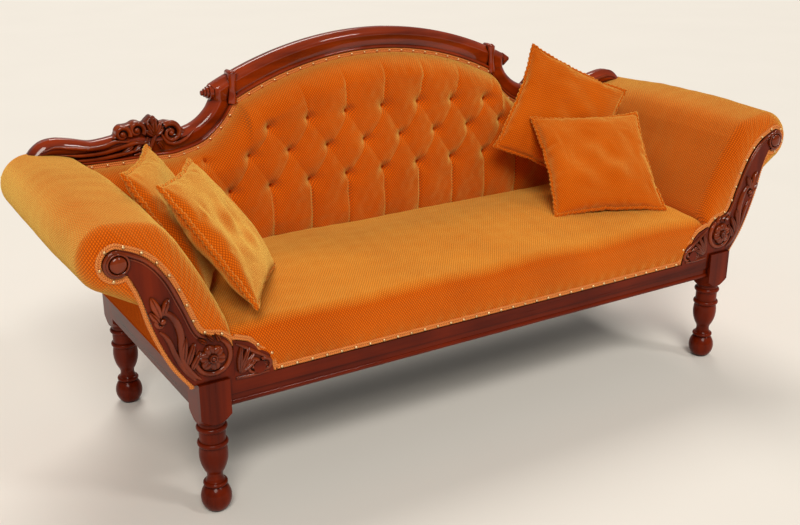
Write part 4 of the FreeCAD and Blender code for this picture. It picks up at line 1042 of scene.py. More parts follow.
@dataclass
class ButtonedBack(Upkeep):
    """The deep-buttoned back: pillows between folds that run from button to button."""

    pitch: float = 0.120
    top_row: float = 0.757
    row_drop: float = 0.092
    arch_drop: float = 0.020
    counts: tuple[int, int, int] = (7, 10, 9)
    bottom: float = 0.412
    side: float = 0.852
    button_depth: float = 0.031
    fold_depth: float = 0.0095
    fold_width: float = 0.020
    fold_sag: float = 0.006
    crease_depth: float = 0.0085
    crease_width: float = 0.0034
    edge_round: float = 0.062
    columns: int = 460
    rows: int = 176
    button_radius: float = 0.0090
    button_height: float = 0.0048
    tuft_width: float = 0.0165
    top_spread: float = 1.10

    def places(self) -> list[Array]:
        """The buttons (x, z) of each row; the top row follows the arch of the crest.

        Returns:
            An array for each row, the top row first.
        """
        rows = []
        for row, count in enumerate(self.counts):
            x = (np.arange(count) - (count - 1) / 2) * self.pitch
            drop = self.arch_drop * (x / (3 * self.pitch)) ** 2 if row == 0 else 0.0 * x
            rows.append(np.stack([x, self.top_row - row * self.row_drop - drop], axis=1))
        return rows

    def folds(self) -> tuple[Array, Array, Array, Array]:
        """Starts, ends and depths at both ends of every fold.

        Returns:
            Arrays of start points, end points, depths at the start and depths at the end.
        """
        first, second, third = self.places()
        starts, ends, deep, shallow = [], [], [], []
        for above, below in ((first, second), (third, second)):
            gap = np.abs(above[:, None, 0] - below[None, :, 0])
            one, other = np.nonzero(gap < self.pitch * 0.75)
            starts.append(above[one])
            ends.append(below[other])
            deep.append(np.full(len(one), self.fold_depth))
            shallow.append(np.full(len(one), self.fold_depth))
        starts.append(third)
        ends.append(np.stack([third[:, 0], np.full(len(third), self.bottom)], axis=1))
        deep.append(np.full(len(third), self.fold_depth))
        shallow.append(np.full(len(third), self.fold_depth * 0.72))
        crest = SIZES.crest_low(0.016, 300)
        spread = first[:, 0] * self.top_spread
        tops = np.interp(np.abs(spread), crest[:, 0], crest[:, 1])
        starts.append(first)
        ends.append(np.stack([spread, tops], axis=1))
        deep.append(np.full(len(first), self.fold_depth * 0.9))
        shallow.append(np.full(len(first), self.fold_depth * 0.25))
        outer = second[[0, -1]]
        starts.append(outer)
        ends.append(outer + np.array([[-0.11, 0.012], [0.11, 0.012]]))
        deep.append(np.full(2, self.fold_depth * 0.8))
        shallow.append(np.full(2, 0.002))
        return tuple(np.concatenate(one) for one in (starts, ends, deep, shallow))

    def depth(self, x: Array, z: Array) -> Array:
        """How far the cover is drawn in at each point.

        Each fold hangs a little between its ends and draws the cover in by its depth times a falling
        exponential of the distance, with a narrow crease in its middle, and each button by another. The
        depth is the fourth root of the sum of their fourth powers.

        Args:
            x: Places across.
            z: Heights.

        Returns:
            Depths in metres.
        """
        total = np.zeros_like(x)
        for start, end, deep, shallow in zip(*self.folds()):
            way = end - start
            run = ((x - start[0]) * way[0] + (z - start[1]) * way[1]) / (way @ way)
            share = np.clip(run, 0.0, 1.0)
            sag = 4.0 * self.fold_sag * share * (1.0 - share) * min(1.0, abs(way[0]) / 0.05)
            gap = np.hypot(x - start[0] - share * way[0], z - start[1] - share * way[1] + sag)
            size = (deep + (shallow - deep) * share) / self.fold_depth
            fold = (self.fold_depth * np.exp(-gap / self.fold_width)
                    + self.crease_depth * np.exp(-(gap / self.crease_width) ** 2))
            total += (size * fold) ** 4
        for place in np.concatenate(self.places()):
            gap = np.hypot(x - place[0], z - place[1])
            total += (self.button_depth * np.exp(-np.clip(gap - 0.005, 0, None) / self.tuft_width)) ** 4
        return total ** 0.25

    @staticmethod
    def upper_edge(x: Array) -> tuple[Array, Array]:
        """The height of the cover's upper edge at each place across, and the cosine of its slope.

        Args:
            x: Places across.

        Returns:
            Heights and cosines.
        """
        crest = SIZES.crest_low(0.0115, 500)
        slope = np.gradient(crest[:, 1], crest[:, 0] + np.arange(500) * 1e-9)
        size = np.abs(x)
        return np.interp(size, *crest.T), 1.0 / np.sqrt(1.0 + np.interp(size, crest[:, 0], slope) ** 2)

    def face(self, x: Array, z: Array, drawn: float = 1.0) -> Array:
        """The depth y of the cover's face.

        It stands out from the upper edge as a quarter ellipse, less the depth of folds and buttons.

        Args:
            x: Places across.
            z: Heights.
            drawn: The share of the folds' depth.

        Returns:
            Depths y.
        """
        top, tilt = self.upper_edge(x)
        inside = np.clip((top - z) * tilt / self.edge_round, 0.0, 1.0)
        stand = np.sqrt(np.clip(1.0 - (1.0 - inside) ** 2, 0.0, None))
        fall = np.clip((z - self.bottom) / 0.055, 0.0, 1.0)
        field = np.stack([x, z], axis=-1)
        loose = 0.0016 * ripple(field, 0.09, 1) + 0.0006 * ripple(field, 0.03, 2)
        reach = (SIZES.back_edge - SIZES.back_front) * (0.005 + 0.995 * stand) * (0.93 + 0.07 * fall)
        folds = self.depth(x, z) * np.clip(inside * 2.2, 0.0, 1.0) + loose * stand
        return SIZES.back_edge - reach + drawn * folds

    def cover(self) -> Patchwork:
        """The cover: a height field over the space inside the crest, closed by a flat back.

        Across runs x; up runs from the seat to the crest's lower edge. The weave follows the face without
        its folds.

        Returns:
            The patchwork of the cover.
        """
        work = Patchwork()
        x = np.linspace(-self.side, self.side, self.columns)
        top = self.upper_edge(x)[0]
        arm = 0.462 + 2.0 * np.clip(np.abs(x) - SIZES.pad_in, 0.0, None) - 0.055
        low = np.maximum(self.bottom, arm)
        share = np.linspace(0.0, 1.0, self.rows) ** 0.92
        z = low[:, None] + (top - low)[:, None] * share[None, :]
        grid_x = np.repeat(x[:, None], self.rows, axis=1)
        y = self.face(grid_x, z)
        plain = np.stack([self.face(grid_x, z, 0.0), z], axis=-1)
        steps = np.linalg.norm(np.diff(plain, axis=1), axis=2)
        rise = np.concatenate([0.0 * grid_x[:, :1], np.cumsum(steps, axis=1)], axis=1)
        cloth = np.stack([grid_x, low[:, None] + rise], axis=-1)
        index = work.grid(np.stack([grid_x, y, z], axis=-1), cloth=cloth)
        close_flat(work, index, SIZES.back_edge + 0.010)
        return work

    def buttons(self) -> Patchwork:
        """Covered buttons: a low dome turned about the way to the front, at the bottom of each tuft.

        Returns:
            The patchwork of all the buttons.
        """
        work = Patchwork()
        t = np.linspace(0.0, 1.0, 9)
        turn = t * np.pi / 2
        dome = self.button_height * np.sin(turn) - 0.002
        profile = np.stack([dome, self.button_radius * np.cos(turn)], axis=1)
        profile = np.concatenate([[[-0.006, 0.0], [-0.006, self.button_radius * 0.9]], profile])
        places = np.concatenate(self.places())
        for place, depth in zip(places, self.face(places[:, 0], places[:, 1])):
            work.solid(lathe(profile, (place[0], depth, place[1]), 18))
        return work

    def make(self) -> None:
        """Build and dress the cover and its buttons."""
        cover = self.settle(self.cover().build("back_cover"), self.finishes.cover, "cover", ["back_pad"])
        # The buttons take the darker copy of the chenille: painted shade.
        self.settle(self.buttons().build("back_button_tops"), self.finishes.shaded_cover, "cover", ["back_buttons"])


def close_flat(work: Patchwork, index: Array, depth: float) -> None:
    """Close a grid behind its edge with a wall back to a plane of one depth and a flat face there.

    Args:
        work: The patchwork that holds the grid.
        index: The index of each of the grid's points.
        depth: The y of the plane.
    """
    edge = np.concatenate([index[:, 0], index[-1, 1:], index[-2::-1, -1], index[0, -2:0:-1]])
    rim = np.concatenate(work.points)[edge]
    back = rim.copy()
    back[:, 1] = depth
    ring = work.grid(np.stack([np.concatenate([rim, rim[:1]]), np.concatenate([back, back[:1]])]))
    work.cap(ring[1, :-1])


@dataclass
class SprungSeat(Upkeep):
    """The seat: upright front, rolled edge, crowned top and a crease along the arms and the back."""

    half: float = 0.7347
    edge_radius: float = 0.044
    roll_height: float = 0.407
    face_low: float = 0.341
    face_swell: float = 0.0045
    top_front: tuple[float, float] = (-0.290, 0.4512)
    top_back: tuple[float, float] = (0.218, 0.4412)
    crown: float = 0.0155
    columns: int = 300
    crease: float = 0.013
    pucker: float = 0.0011
    pucker_pitch: float = 0.038

    def profile(self) -> Array:
        """The side view (y, z) from the front hem over the roll and the crown to the back crease.

        Returns:
            Points (y, z).
        """
        front = SIZES.pad_front
        hem = np.array([[front + 0.004, SIZES.seat_base], [front + 0.001, SIZES.seat_base + 0.010]])
        t = np.linspace(0.0, 1.0, 16)
        height = self.face_low + (self.roll_height - self.face_low) * t
        face = np.stack([front - self.face_swell * np.sin(np.pi * t ** 0.8), height], axis=1)
        roll = arc_line((front + self.edge_radius, self.roll_height), self.edge_radius, 176.0, 92.0, 18)
        t = np.linspace(0.0, 1.0, 30)[:, None]
        start, end = np.array(self.top_front), np.array(self.top_back)
        top = start + (end - start) * t + np.array([0.0, self.crown]) * np.sin(np.pi * t)
        tuck = np.array([[0.228, 0.432], [0.232, 0.412]])
        return resampled(smooth_line(np.concatenate([hem, face[1:], roll, top[1:], tuck])[::2], 260), 130)

    def cover(self) -> Patchwork:
        """The profile carried along X; it sinks at both ends into the crease by the arms.

        Each row of the grid is the profile, closed underneath; its height is less by an exponential of the
        distance to the arm, and slow ripples stand for the springs.

        Returns:
            The patchwork of the cover.
        """
        work = Patchwork()
        profile = self.profile()
        share = np.linspace(-1.0, 1.0, self.columns)
        x = self.half * np.sin(share * np.pi / 2) * 0.25 + self.half * share * 0.75
        grid_x = np.repeat(x[:, None], len(profile), axis=1)
        y = np.repeat(profile[None, :, 0], self.columns, axis=0)
        z = np.repeat(profile[None, :, 1], self.columns, axis=0)
        near = np.exp(-(self.half - np.abs(grid_x)) / 0.013)
        high = np.clip((z - 0.36) / 0.09, 0.0, 1.0)
        field = np.stack([grid_x, y], axis=-1)
        springs = 0.0022 * ripple(field, 0.34, 3) + 0.0006 * ripple(field, 0.06, 4)
        z = z - self.crease * near * high + high * springs
        y = y + near * 0.006 * (1.0 - high)
        gathers = np.exp(-((z - 0.345) / 0.014) ** 2) * np.sin(grid_x * 2 * np.pi / self.pucker_pitch)
        y = y + self.pucker * gathers * (y < -0.30)
        run = run_along(profile)
        cloth = np.stack([grid_x, np.repeat(run[None, :], self.columns, axis=0)], axis=-1)
        points = np.stack([grid_x, y, z], axis=-1)
        points = np.concatenate([points, points[:, :1]], axis=1)
        cloth = np.concatenate([cloth, cloth[:, -1:]], axis=1)
        work.solid(points, cloth)
        return work

    def make(self) -> None:
        """Build and dress the seat."""
        cover = self.settle(self.cover().build("seat_cover"), self.finishes.seat, "cover", ["seat_pad"])


@dataclass
class RolledArms(Upkeep):
    """Arm pads with a bull nose over the facing, and the stretched cloth below each roll."""

    nose: float = 0.044
    around: int = 190
    nose_rows: int = 18
    length_rows: int = 84
    pleat_pitch: float = 0.021
    pleat: float = 0.0004
    crown: float = 0.012
    panel_rows: int = 60
    panel_ends: tuple[float, float] = (-0.3095, 0.3515)
    panel_inside: tuple[float, float] = (-0.0045, 0.0022)
    panel_dish: float = 0.0010

    def pad(self) -> Array:
        """The right pad as a grid.

        First comes a quarter ellipse from the facing out to the arm's line, then the arm's line drawn along Y
        to the back. Short radial pleats fade from the facing outwards.

        Returns:
            A grid of points, one closed ring for each depth.
        """
        inner = SIZES.facing_line(0.004, self.around, -60.0)
        outer = SIZES.arm_line(0.0, self.around)
        inner[:6, 1] = np.minimum(inner[:6, 1], outer[:6, 1])
        run = run_along(inner)
        turn = np.linspace(0.02, np.pi / 2, self.nose_rows)[:, None]
        reach = np.sin(turn) ** 0.92
        x = inner[None, :, 0] + (outer - inner)[None, :, 0] * reach
        z = inner[None, :, 1] + (outer - inner)[None, :, 1] * reach
        fold = np.cos(run * 2 * np.pi / self.pleat_pitch + 1.3 * ripple(run[:, None], 0.09, 5))
        fade = np.sin(np.pi * np.clip(turn / (np.pi / 2) * 0.9 + 0.1, 0, 1)) ** 1.2
        y = SIZES.pad_front + self.nose * (1.0 - np.cos(turn)) + self.pleat * fold[None, :] * fade
        nose = np.stack([x, y + 0.0 * x, z], axis=-1)
        back = np.linspace(SIZES.pad_front + self.nose, SIZES.back_out - 0.001, self.length_rows + 1)[1:]
        grid_y = np.repeat(back[:, None], self.around, axis=1)
        field = np.stack([np.repeat(run[None, :], len(back), axis=0), grid_y], axis=-1)
        left = side_ways(outer)
        loose = 0.0010 * ripple(field, 0.26, 6) + 0.0004 * ripple(field, 0.07, 7)
        upper = np.clip((outer[None, :, 1] - 0.60) / 0.10, 0.25, 1.0)
        swell = np.sin(np.pi * np.clip((grid_y + 0.31) / 0.66, 0, 1)) ** 1.4
        out = (loose + self.crown * upper) * swell
        body = np.stack([outer[None, :, 0] + left[None, :, 0] * out, grid_y,
                         outer[None, :, 1] + left[None, :, 1] * out], axis=-1)
        ring = np.concatenate([nose, body])
        return np.concatenate([ring, ring[:, :1]], axis=1)

    def sewn(self, pad: Array) -> Patchwork:
        """A pad's two cloths: the front band, whose weave runs out from the facing, and the long cover.

        Args:
            pad: The pad's rings.

        Returns:
            The patchwork of the pad.
        """
        work = Patchwork()
        front = pad[:self.nose_rows]
        steps = np.linalg.norm(np.diff(front, axis=0), axis=2)
        run = np.concatenate([0.0 * steps[:1], np.cumsum(steps, axis=0)])
        flat = front[..., [0, 2]]
        way = flat[-1] - flat[0]
        way = way / (np.linalg.norm(way, axis=1, keepdims=True) + 1e-9)
        index = work.grid(front, cloth=flat[:1] + way[None] * run[..., None])
        work.cap(index[0, :-1])
        index = work.grid(pad[self.nose_rows - 1:])
        work.cap(index[-1, :-1])
        return work

    def outside(self) -> Array:
        """The right outside cloth: the hollow outer edge drawn along Y to the back, as closed rings.

        Returns:
            A grid of points.
        """
        count = self.panel_rows
        line = SIZES.outer_line(-0.0012, count)
        line = np.concatenate([[[line[0, 0], SIZES.rail_top + 0.002]], line[:-3]])
        line = resampled(line, count)
        loop = np.concatenate([line, (line + np.array(self.panel_inside))[::-1], line[:1]])
        y = np.linspace(*self.panel_ends, count)
        dish = self.panel_dish * np.sin(np.pi * (y - y[0]) / (y[-1] - y[0]))
        x = np.repeat(loop[None, :, 0], count, axis=0) - dish[:, None]
        z = np.repeat(loop[None, :, 1], count, axis=0)
        return np.stack([x, np.repeat(y[:, None], len(loop), axis=1), z], axis=-1)

    def make(self) -> None:
        """Build and dress both arms."""
        pad = self.pad()
        for side, one in (("right", pad), ("left", mirrored(pad))):
            piece = self.sewn(one).build(side + "_arm_cover")
            self.settle(piece, self.finishes.cover, "cover", [side + "_arm_pad"])
        # The outside cloth takes the darker copy of the chenille: painted shade.
        panels = self.pair("outside_arm_cover", [self.outside()], self.finishes.shaded_cover, "cover",
                           ["outside_arm_panel"])


@dataclass
class OutsideBack(Upkeep):
    """The plain cloth stretched over the back of the frame, with a corded edge."""

    columns: int = 220
    rows: int = 70
    swell: float = 0.0022
    half: float = 1.047
    low: float = 0.300
    leg_inner: float = 0.745
    leg_outer: float = 0.838
    leg_top: float = 0.345

    def outline(self, x: Array) -> tuple[Array, Array]:
        """The lower and upper edge of the cloth at each place across.

        Args:
            x: Places across, in metres.

        Returns:
            Heights of the lower and the upper edge.
        """
        size = np.abs(x)
        crest = SIZES.crest_low(-0.003, 400)
        top = np.interp(size, crest[:, 0], crest[:, 1])
        drop = np.clip(SIZES.roll_radius ** 2 - (size - SIZES.scroll_x) ** 2, 0.0, None)
        roll = SIZES.scroll_z + np.sqrt(drop)
        top = np.where(size > SIZES.wing_end, np.minimum(roll, SIZES.wing_low + 0.004), top)
        edge = SIZES.outer_line(0.0, 200)
        low = np.where(size < SIZES.leg_x + 0.037, self.low, np.interp(size, edge[:, 0], edge[:, 1]))
        under = SIZES.scroll_z - np.sqrt(drop) * 0.9
        low = np.where(size > edge[-1, 0], np.maximum(under, 0.585), low)
        return low, np.maximum(top, low + 0.002)

    def make(self) -> None:
        """A field of cloth between the two edges that swells a little to the back, closed in front."""
        work = Patchwork()
        x = np.linspace(-self.half, self.half, self.columns)
        low, top = self.outline(x)
        share = np.linspace(0.0, 1.0, self.rows)
        z = low[:, None] + (top - low)[:, None] * share[None, :]
        grid_x = np.repeat(x[:, None], self.rows, axis=1)
        tight = np.sin(np.pi * share)[None, :] ** 0.5
        field = np.stack([grid_x, z], axis=-1)
        y = SIZES.back_out + 0.003 + self.swell * tight + 0.0006 * ripple(field, 0.25, 8)
        size = np.abs(grid_x)
        legs = (size > self.leg_inner) & (size < self.leg_outer) & (z < self.leg_top)
        z = np.where(legs, self.leg_top, z)
        index = work.grid(np.stack([grid_x, y, z], axis=-1), cloth=field)
        close_flat(work, index, SIZES.back_out + 0.0005)
        piece = work.build("outside_back_cover")
        self.settle(piece, self.finishes.cover, "cover", ["outside_back_panel"])


class CushionPlace(Enum):
    """Where each loose cushion lies: heading, lean and turn in degrees."""

    REAR_LEFT = ("rear_left_cushion", 64.4, 30.0, -4.1)
    FRONT_LEFT = ("front_left_cushion", 61.8, 36.6, -6.4)
    REAR_RIGHT = ("rear_right_cushion", -14.0, 20.0, 62.0)
    FRONT_RIGHT = ("front_right_cushion", -18.6, 47.0, -0.8)


@dataclass
class LooseCushions(Upkeep):
    """Four knife-edge cushions: two sewn squares blown up by a cloth simulation, with a cord round them."""

    side: float = 0.335
    thick: float = 0.094
    cells: int = 60
    draw_in: float = 0.015
    pressure: float = 4.0
    frames: int = 20
    cord_radius: float = 0.0056
    cord_points: int = 461
    cord_turns: int = 92
    pucker: float = 0.0022
    gather: float = 0.0012
    dent: float = 0.004

    def square(self) -> tuple[Array, Array]:
        """The grid of a square, from -1 to 1 both ways.

        Returns:
            Shares across and shares up.
        """
        t = np.linspace(-1.0, 1.0, self.cells + 1)
        across, up = np.meshgrid(t, t)
        return across, up

    def flat(self) -> tuple[Array, Array]:
        """The two squares, front and back, in the plane y = 0, each a grid of points, a little apart inside.

        Returns:
            Points (2, n, n, 3) and cloth coordinates (n, n, 2).
        """
        u, v = self.square()
        half = self.side / 2 * 1.05
        puff = 0.014 * ((1 - u ** 2) * (1 - v ** 2)) ** 0.5
        puff = puff * (1.0 + 0.25 * ripple(np.stack([u, v], axis=-1), 0.5, 9))
        front = np.stack([u * half, -puff, v * half], axis=-1)
        back = np.stack([u * half, puff, v * half], axis=-1)
        return np.stack([front, back]), np.stack([u * half, v * half], axis=-1)

    def modelled(self) -> Array:
        """Each face stands up as a power of the product of two parabolas, and the sides draw in between the
        corners.

        Returns:
            Points (2, n, n, 3).
        """
        u, v = self.square()
        x = u * (self.side / 2 - self.draw_in * (1 - v ** 2))
        z = v * (self.side / 2 - self.draw_in * (1 - u ** 2))
        rise = self.thick / 2 * np.clip((1 - u ** 2) * (1 - v ** 2), 0, 1) ** 0.62
        gathers = np.sin(9 * np.pi * u) * (1 - np.abs(v)) + np.sin(9 * np.pi * v) * (1 - np.abs(u))
        edge = self.gather * gathers
        front = np.stack([x, -rise - edge * (rise > 0.004), z], axis=-1)
        back = np.stack([x, rise + edge * (rise > 0.004), z], axis=-1)
        return np.stack([front, back])

    def blown(self) -> Array:
        """The two squares after the simulation, scaled to the cushion's true size.

        Returns:
            Points (2, n, n, 3).
        """
        points = self.flat()[0]
        size = self.cells + 1
        number = np.arange(size * size).reshape(size, size)
        second = size * size + number.copy()
        rim = np.zeros((size, size), bool)
        rim[[0, -1], :] = True
        rim[:, [0, -1]] = True
        second[rim] = number[rim]
        faces = []
        for index, flip in ((number, False), (second, True)):
            corners = [index[:-1, :-1], index[:-1, 1:], index[1:, 1:], index[1:, :-1]]
            quads = np.stack(corners, axis=-1).reshape(-1, 4)
            faces.append(quads[:, ::-1] if flip else quads)
        mesh = bpy.data.meshes.new("blown_cushion")
        mesh.from_pydata(points.reshape(-1, 3).tolist(), [], np.concatenate(faces).tolist())
        mesh.update()
        form = bpy.data.objects.new("blown_cushion", mesh)
        bpy.context.scene.collection.objects.link(form)
        cloth_maker = form.modifiers.new("blow", "CLOTH")
        settings = cloth_maker.settings
        settings.use_pressure = True
        settings.uniform_pressure_force = self.pressure
        settings.effector_weights.gravity = 0.0
        settings.quality = 7
        settings.mass = 0.25
        settings.tension_stiffness = 12.0
        settings.compression_stiffness = 6.0
        settings.bending_stiffness = 0.06
        settings.air_damping = 2.0
        scene = bpy.context.scene
        blown = points
        for number_of_frame in range(1, self.frames + 1):
            scene.frame_set(number_of_frame)
            result = form.evaluated_get(bpy.context.evaluated_depsgraph_get()).to_mesh()
            flat = np.empty(len(result.vertices) * 3)
            result.vertices.foreach_get("co", flat)
            blown = flat.reshape(2, size, size, 3)
            blown[1][rim] = blown[0][rim]
            face = blown[0]
            hollow = face[0, [0, -1], 2].mean() - face[0, self.cells // 2, 2]
            if abs(hollow) > self.draw_in:
                break
        LOG.info("cushion blown for %d frames, sides drawn in by %.4f", number_of_frame, abs(hollow))
        bpy.data.objects.remove(form)
        scene.frame_set(1)
        return self.fitted(blown)

    def fitted(self, blown: Array) -> Array:
        """Scale a blown form so that its corners and its crown have their true sizes.

        Args:
            blown: Points (2, n, n, 3).

        Returns:
            The scaled points.
        """
        corners = blown[0][[0, 0, -1, -1], [0, -1, 0, -1]]
        middle = corners.mean(axis=0)
        reach = np.abs(corners - middle)[:, [0, 2]].mean()
        form = blown - middle
        form = form * np.array([self.side / 2 / reach, 1.0, self.side / 2 / reach])
        return form * np.array([1.0, self.thick / 2 / np.abs(form[..., 1]).max(), 1.0])

    @staticmethod
    def turned(points: Array, place: CushionPlace) -> Array:
        """Turn a form from its own plane to where it lies, about the centre of its CAD solid.

        Args:
            points: Points of the form.
            place: Where it lies.

        Returns:
            The turned points.
        """
        name, heading, lean, turn = place.value
        low, high = (np.array(one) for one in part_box(name))
        h, l, t = (math.radians(one) for one in (heading, -lean, -turn))
        about_y = np.array([[math.cos(t), 0, math.sin(t)], [0, 1, 0], [-math.sin(t), 0, math.cos(t)]])
        about_x = np.array([[1, 0, 0], [0, math.cos(l), -math.sin(l)], [0, math.sin(l), math.cos(l)]])
        about_z = np.array([[math.cos(h), -math.sin(h), 0], [math.sin(h), math.cos(h), 0], [0, 0, 1]])
        return points @ (about_z @ about_x @ about_y).T + (low + high) / 2

    def cord(self, form: Array, seed: int) -> Array:
        """The twisted cord round the seam.

        A circle is carried round the rim, its radius swells twice round and turns as it goes, and the line
        itself waves a little.

        Args:
            form: The blown form.
            seed: Start of the random draws.

        Returns:
            A closed grid of points.
        """
        face = form[0]
        rim = np.concatenate([face[0, :-1], face[:-1, -1], face[-1, :0:-1], face[:0:-1, 0], face[:1, 0]])
        line = resampled(rim, self.cord_points)
        away = line / np.linalg.norm(line[:, [0, 2]], axis=1, keepdims=True)
        line = line + away * 0.0012
        line[:, 1] += 0.0014 * ripple(line[:, [0, 2]], 0.06, seed)
        line[-1] = line[0]
        along = np.gradient(np.concatenate([line[-2:-1], line, line[1:2]]), axis=0)[1:-1]
        along /= np.linalg.norm(along, axis=1, keepdims=True)
        out = np.cross(along, np.array([0.0, 1.0, 0.0]))
        out /= np.linalg.norm(out, axis=1, keepdims=True)
        up = np.cross(out, along)
        turn, radius = twisted(self.cord_points, self.cord_turns, self.cord_radius, 0.24)
        return (line[:, None] + out[:, None] * (radius * np.cos(turn))[..., None]
                + up[:, None] * (radius * np.sin(turn))[..., None])

    def puckers(self, seed: int) -> Array:
        """Gathers along the seam: an uneven sine along each side that dies out away from the rim.

        Args:
            seed: Start of the random draws.

        Returns:
            What is added to y, outwards on both faces.
        """
        u, v = self.square()
        total = np.zeros_like(u)
        for along, rim in ((u, 1.0 - np.abs(v)), (v, 1.0 - np.abs(u))):
            wave = np.sin(along * 17.0 + 2.2 * ripple(along[..., None], 0.7, seed) + np.sign(v + u))
            total += wave * np.exp(-((rim - 0.10) / 0.075) ** 2) * (1.0 - along ** 2)
        return self.pucker * total[None] * np.array([-1.0, 1.0])[:, None, None]

    def make(self) -> None:
        """Blow one form, lay four of it, each with its own small dents, and cord them."""
        form = self.blown()
        cloth = self.flat()[1]
        for seed, place in enumerate(CushionPlace, start=20):
            name = place.value[0]
            rise = np.abs(form[..., 1]) / (self.thick / 2)
            dent = self.dent * ripple(form[..., [0, 2]], 0.16, seed) * rise
            own = form.copy()
            own[..., 1] = (own[..., 1] + dent) * 0.985 + self.puckers(seed)
            work = Patchwork()
            for face in own:
                work.grid(self.turned(face, place), cloth=cloth)
            piece = work.build(name + "_cover", sharp=75.0)
            finer = piece.modifiers.new("finer", "SUBSURF")
            finer.levels = 1
            finer.render_levels = 1
            self.settle(piece, self.finishes.cushion, "cushion_cover", [name], name)
            work = Patchwork()
            work.grid(self.turned(self.cord(own, seed), place))
            self.settle(work.build(name + "_seam_cord"), self.finishes.cushion, "cushion_cover", [], name)


@dataclass
class GimpBraid(Upkeep):
    """The flat braid along the show wood, under the nails."""

    width: float = 0.0125
    thick: float = 0.0032
    out: float = 0.0063
    scallop: float = 0.0058
    cord_depth: float = -0.3355
    cord_radius: float = 0.0050
    cord_turns: int = 46
    bracket_reach: float = 0.096

    def section(self) -> Array:
        """Two low beads side by side on a flat ground, closed, as (left, front) points.

        Returns:
            Points (left, front).
        """
        q = np.linspace(-1.0, 1.0, 17)
        front = self.thick * (0.35 + 0.65 * np.abs(np.sin(np.pi * q)) ** 0.7)
        face = np.stack([q * self.width / 2, front], axis=1)
        back = np.array([[self.width / 2, -0.0012], [-self.width / 2, -0.0012]])
        return np.concatenate([face, back, face[:1]])

    def strip(self, line: Array, depth: float) -> tuple[Array, Array]:
        """The section carried along a line, with scalloped edges.

        Args:
            line: Points (x, z).
            depth: The y of the cloth under the braid.

        Returns:
            Points and cloth coordinates.
        """
        run = run_along(line)
        section = self.section()
        grow = 1.0 + 0.07 * np.cos(run * 2 * np.pi / self.scallop)
        points = carried(line, np.full(len(line), depth), section, grow)
        across = np.repeat(section[None, :, 0], len(line), axis=0)
        return points, np.stack([across, np.repeat(run[:, None], len(section), axis=1)], axis=-1)

    def cord(self) -> Array:
        """The twisted cord down the outer edge of the right facing: a round that swells as it turns.

        Returns:
            A grid of points.
        """
        line = SIZES.outer_line(-0.0040, 320)[::-1]
        line = np.concatenate([line, [[line[-1, 0], SIZES.rail_top + 0.006]]])
        turn, radius = twisted(len(line), self.cord_turns, self.cord_radius, 0.18)
        left = side_ways(line)
        width = radius * np.cos(turn)
        x = line[:, None, 0] + left[:, None, 0] * width
        z = line[:, None, 1] + left[:, None, 1] * width
        return np.stack([x, self.cord_depth - radius * np.sin(turn), z], axis=-1)

    def lines(self) -> list[tuple[Array, float]]:
        """The right-hand lines that the braid follows, each with its depth.

        Returns:
            Pairs of points (x, z) and the y of the cloth.
        """
        arm = SIZES.facing_line(self.out, 460, -118.0)
        right = SIZES.ring_x - SIZES.ring_radius - 0.0003
        step = [(right - self.bracket_reach, SIZES.rail_top), (right - 0.0874, 0.370),
                (right - 0.0595, 0.387), (right - 0.0365, 0.414), (right, 0.427)]
        bracket = resampled(np.array(step), 120)
        kernel = np.ones(9) / 9
        rounded = np.stack([np.convolve(np.pad(bracket[:, axis], 4, mode="edge"), kernel, "valid")
                            for axis in range(2)], axis=1)
        bracket = rounded + side_ways(rounded) * self.out
        bracket[:, 1] = np.maximum(bracket[:, 1], SIZES.rail_top + 0.005)
        crest = SIZES.crest_low(self.out, 640)
        crest = crest[crest[:, 0] < 0.842]
        return [(arm, SIZES.pad_front), (bracket, SIZES.pad_front), (crest, SIZES.back_edge)]

    def make(self) -> None:
        """Carry the braid along every line, on both sides, and along the front rail."""
        work = Patchwork()
        stop = SIZES.ring_x - SIZES.ring_radius - self.bracket_reach - 0.010
        front = np.stack([np.linspace(-stop, stop, 900), np.full(900, SIZES.rail_top + 0.0062)], axis=1)
        strips = [self.strip(front, SIZES.pad_front)]
        for line, depth in self.lines():
            points, cloth = self.strip(line, depth)
            strips += [(points, cloth), (mirrored(points), cloth)]
        for points, cloth in strips:
            work.solid(points, cloth)
        self.settle(work.build("gimp_strips"), self.finishes.braid, "braid", ["gimp_braid"])
        self.pair("arm_edge_cord", [self.cord()], self.finishes.braid, "braid")


# Show wood


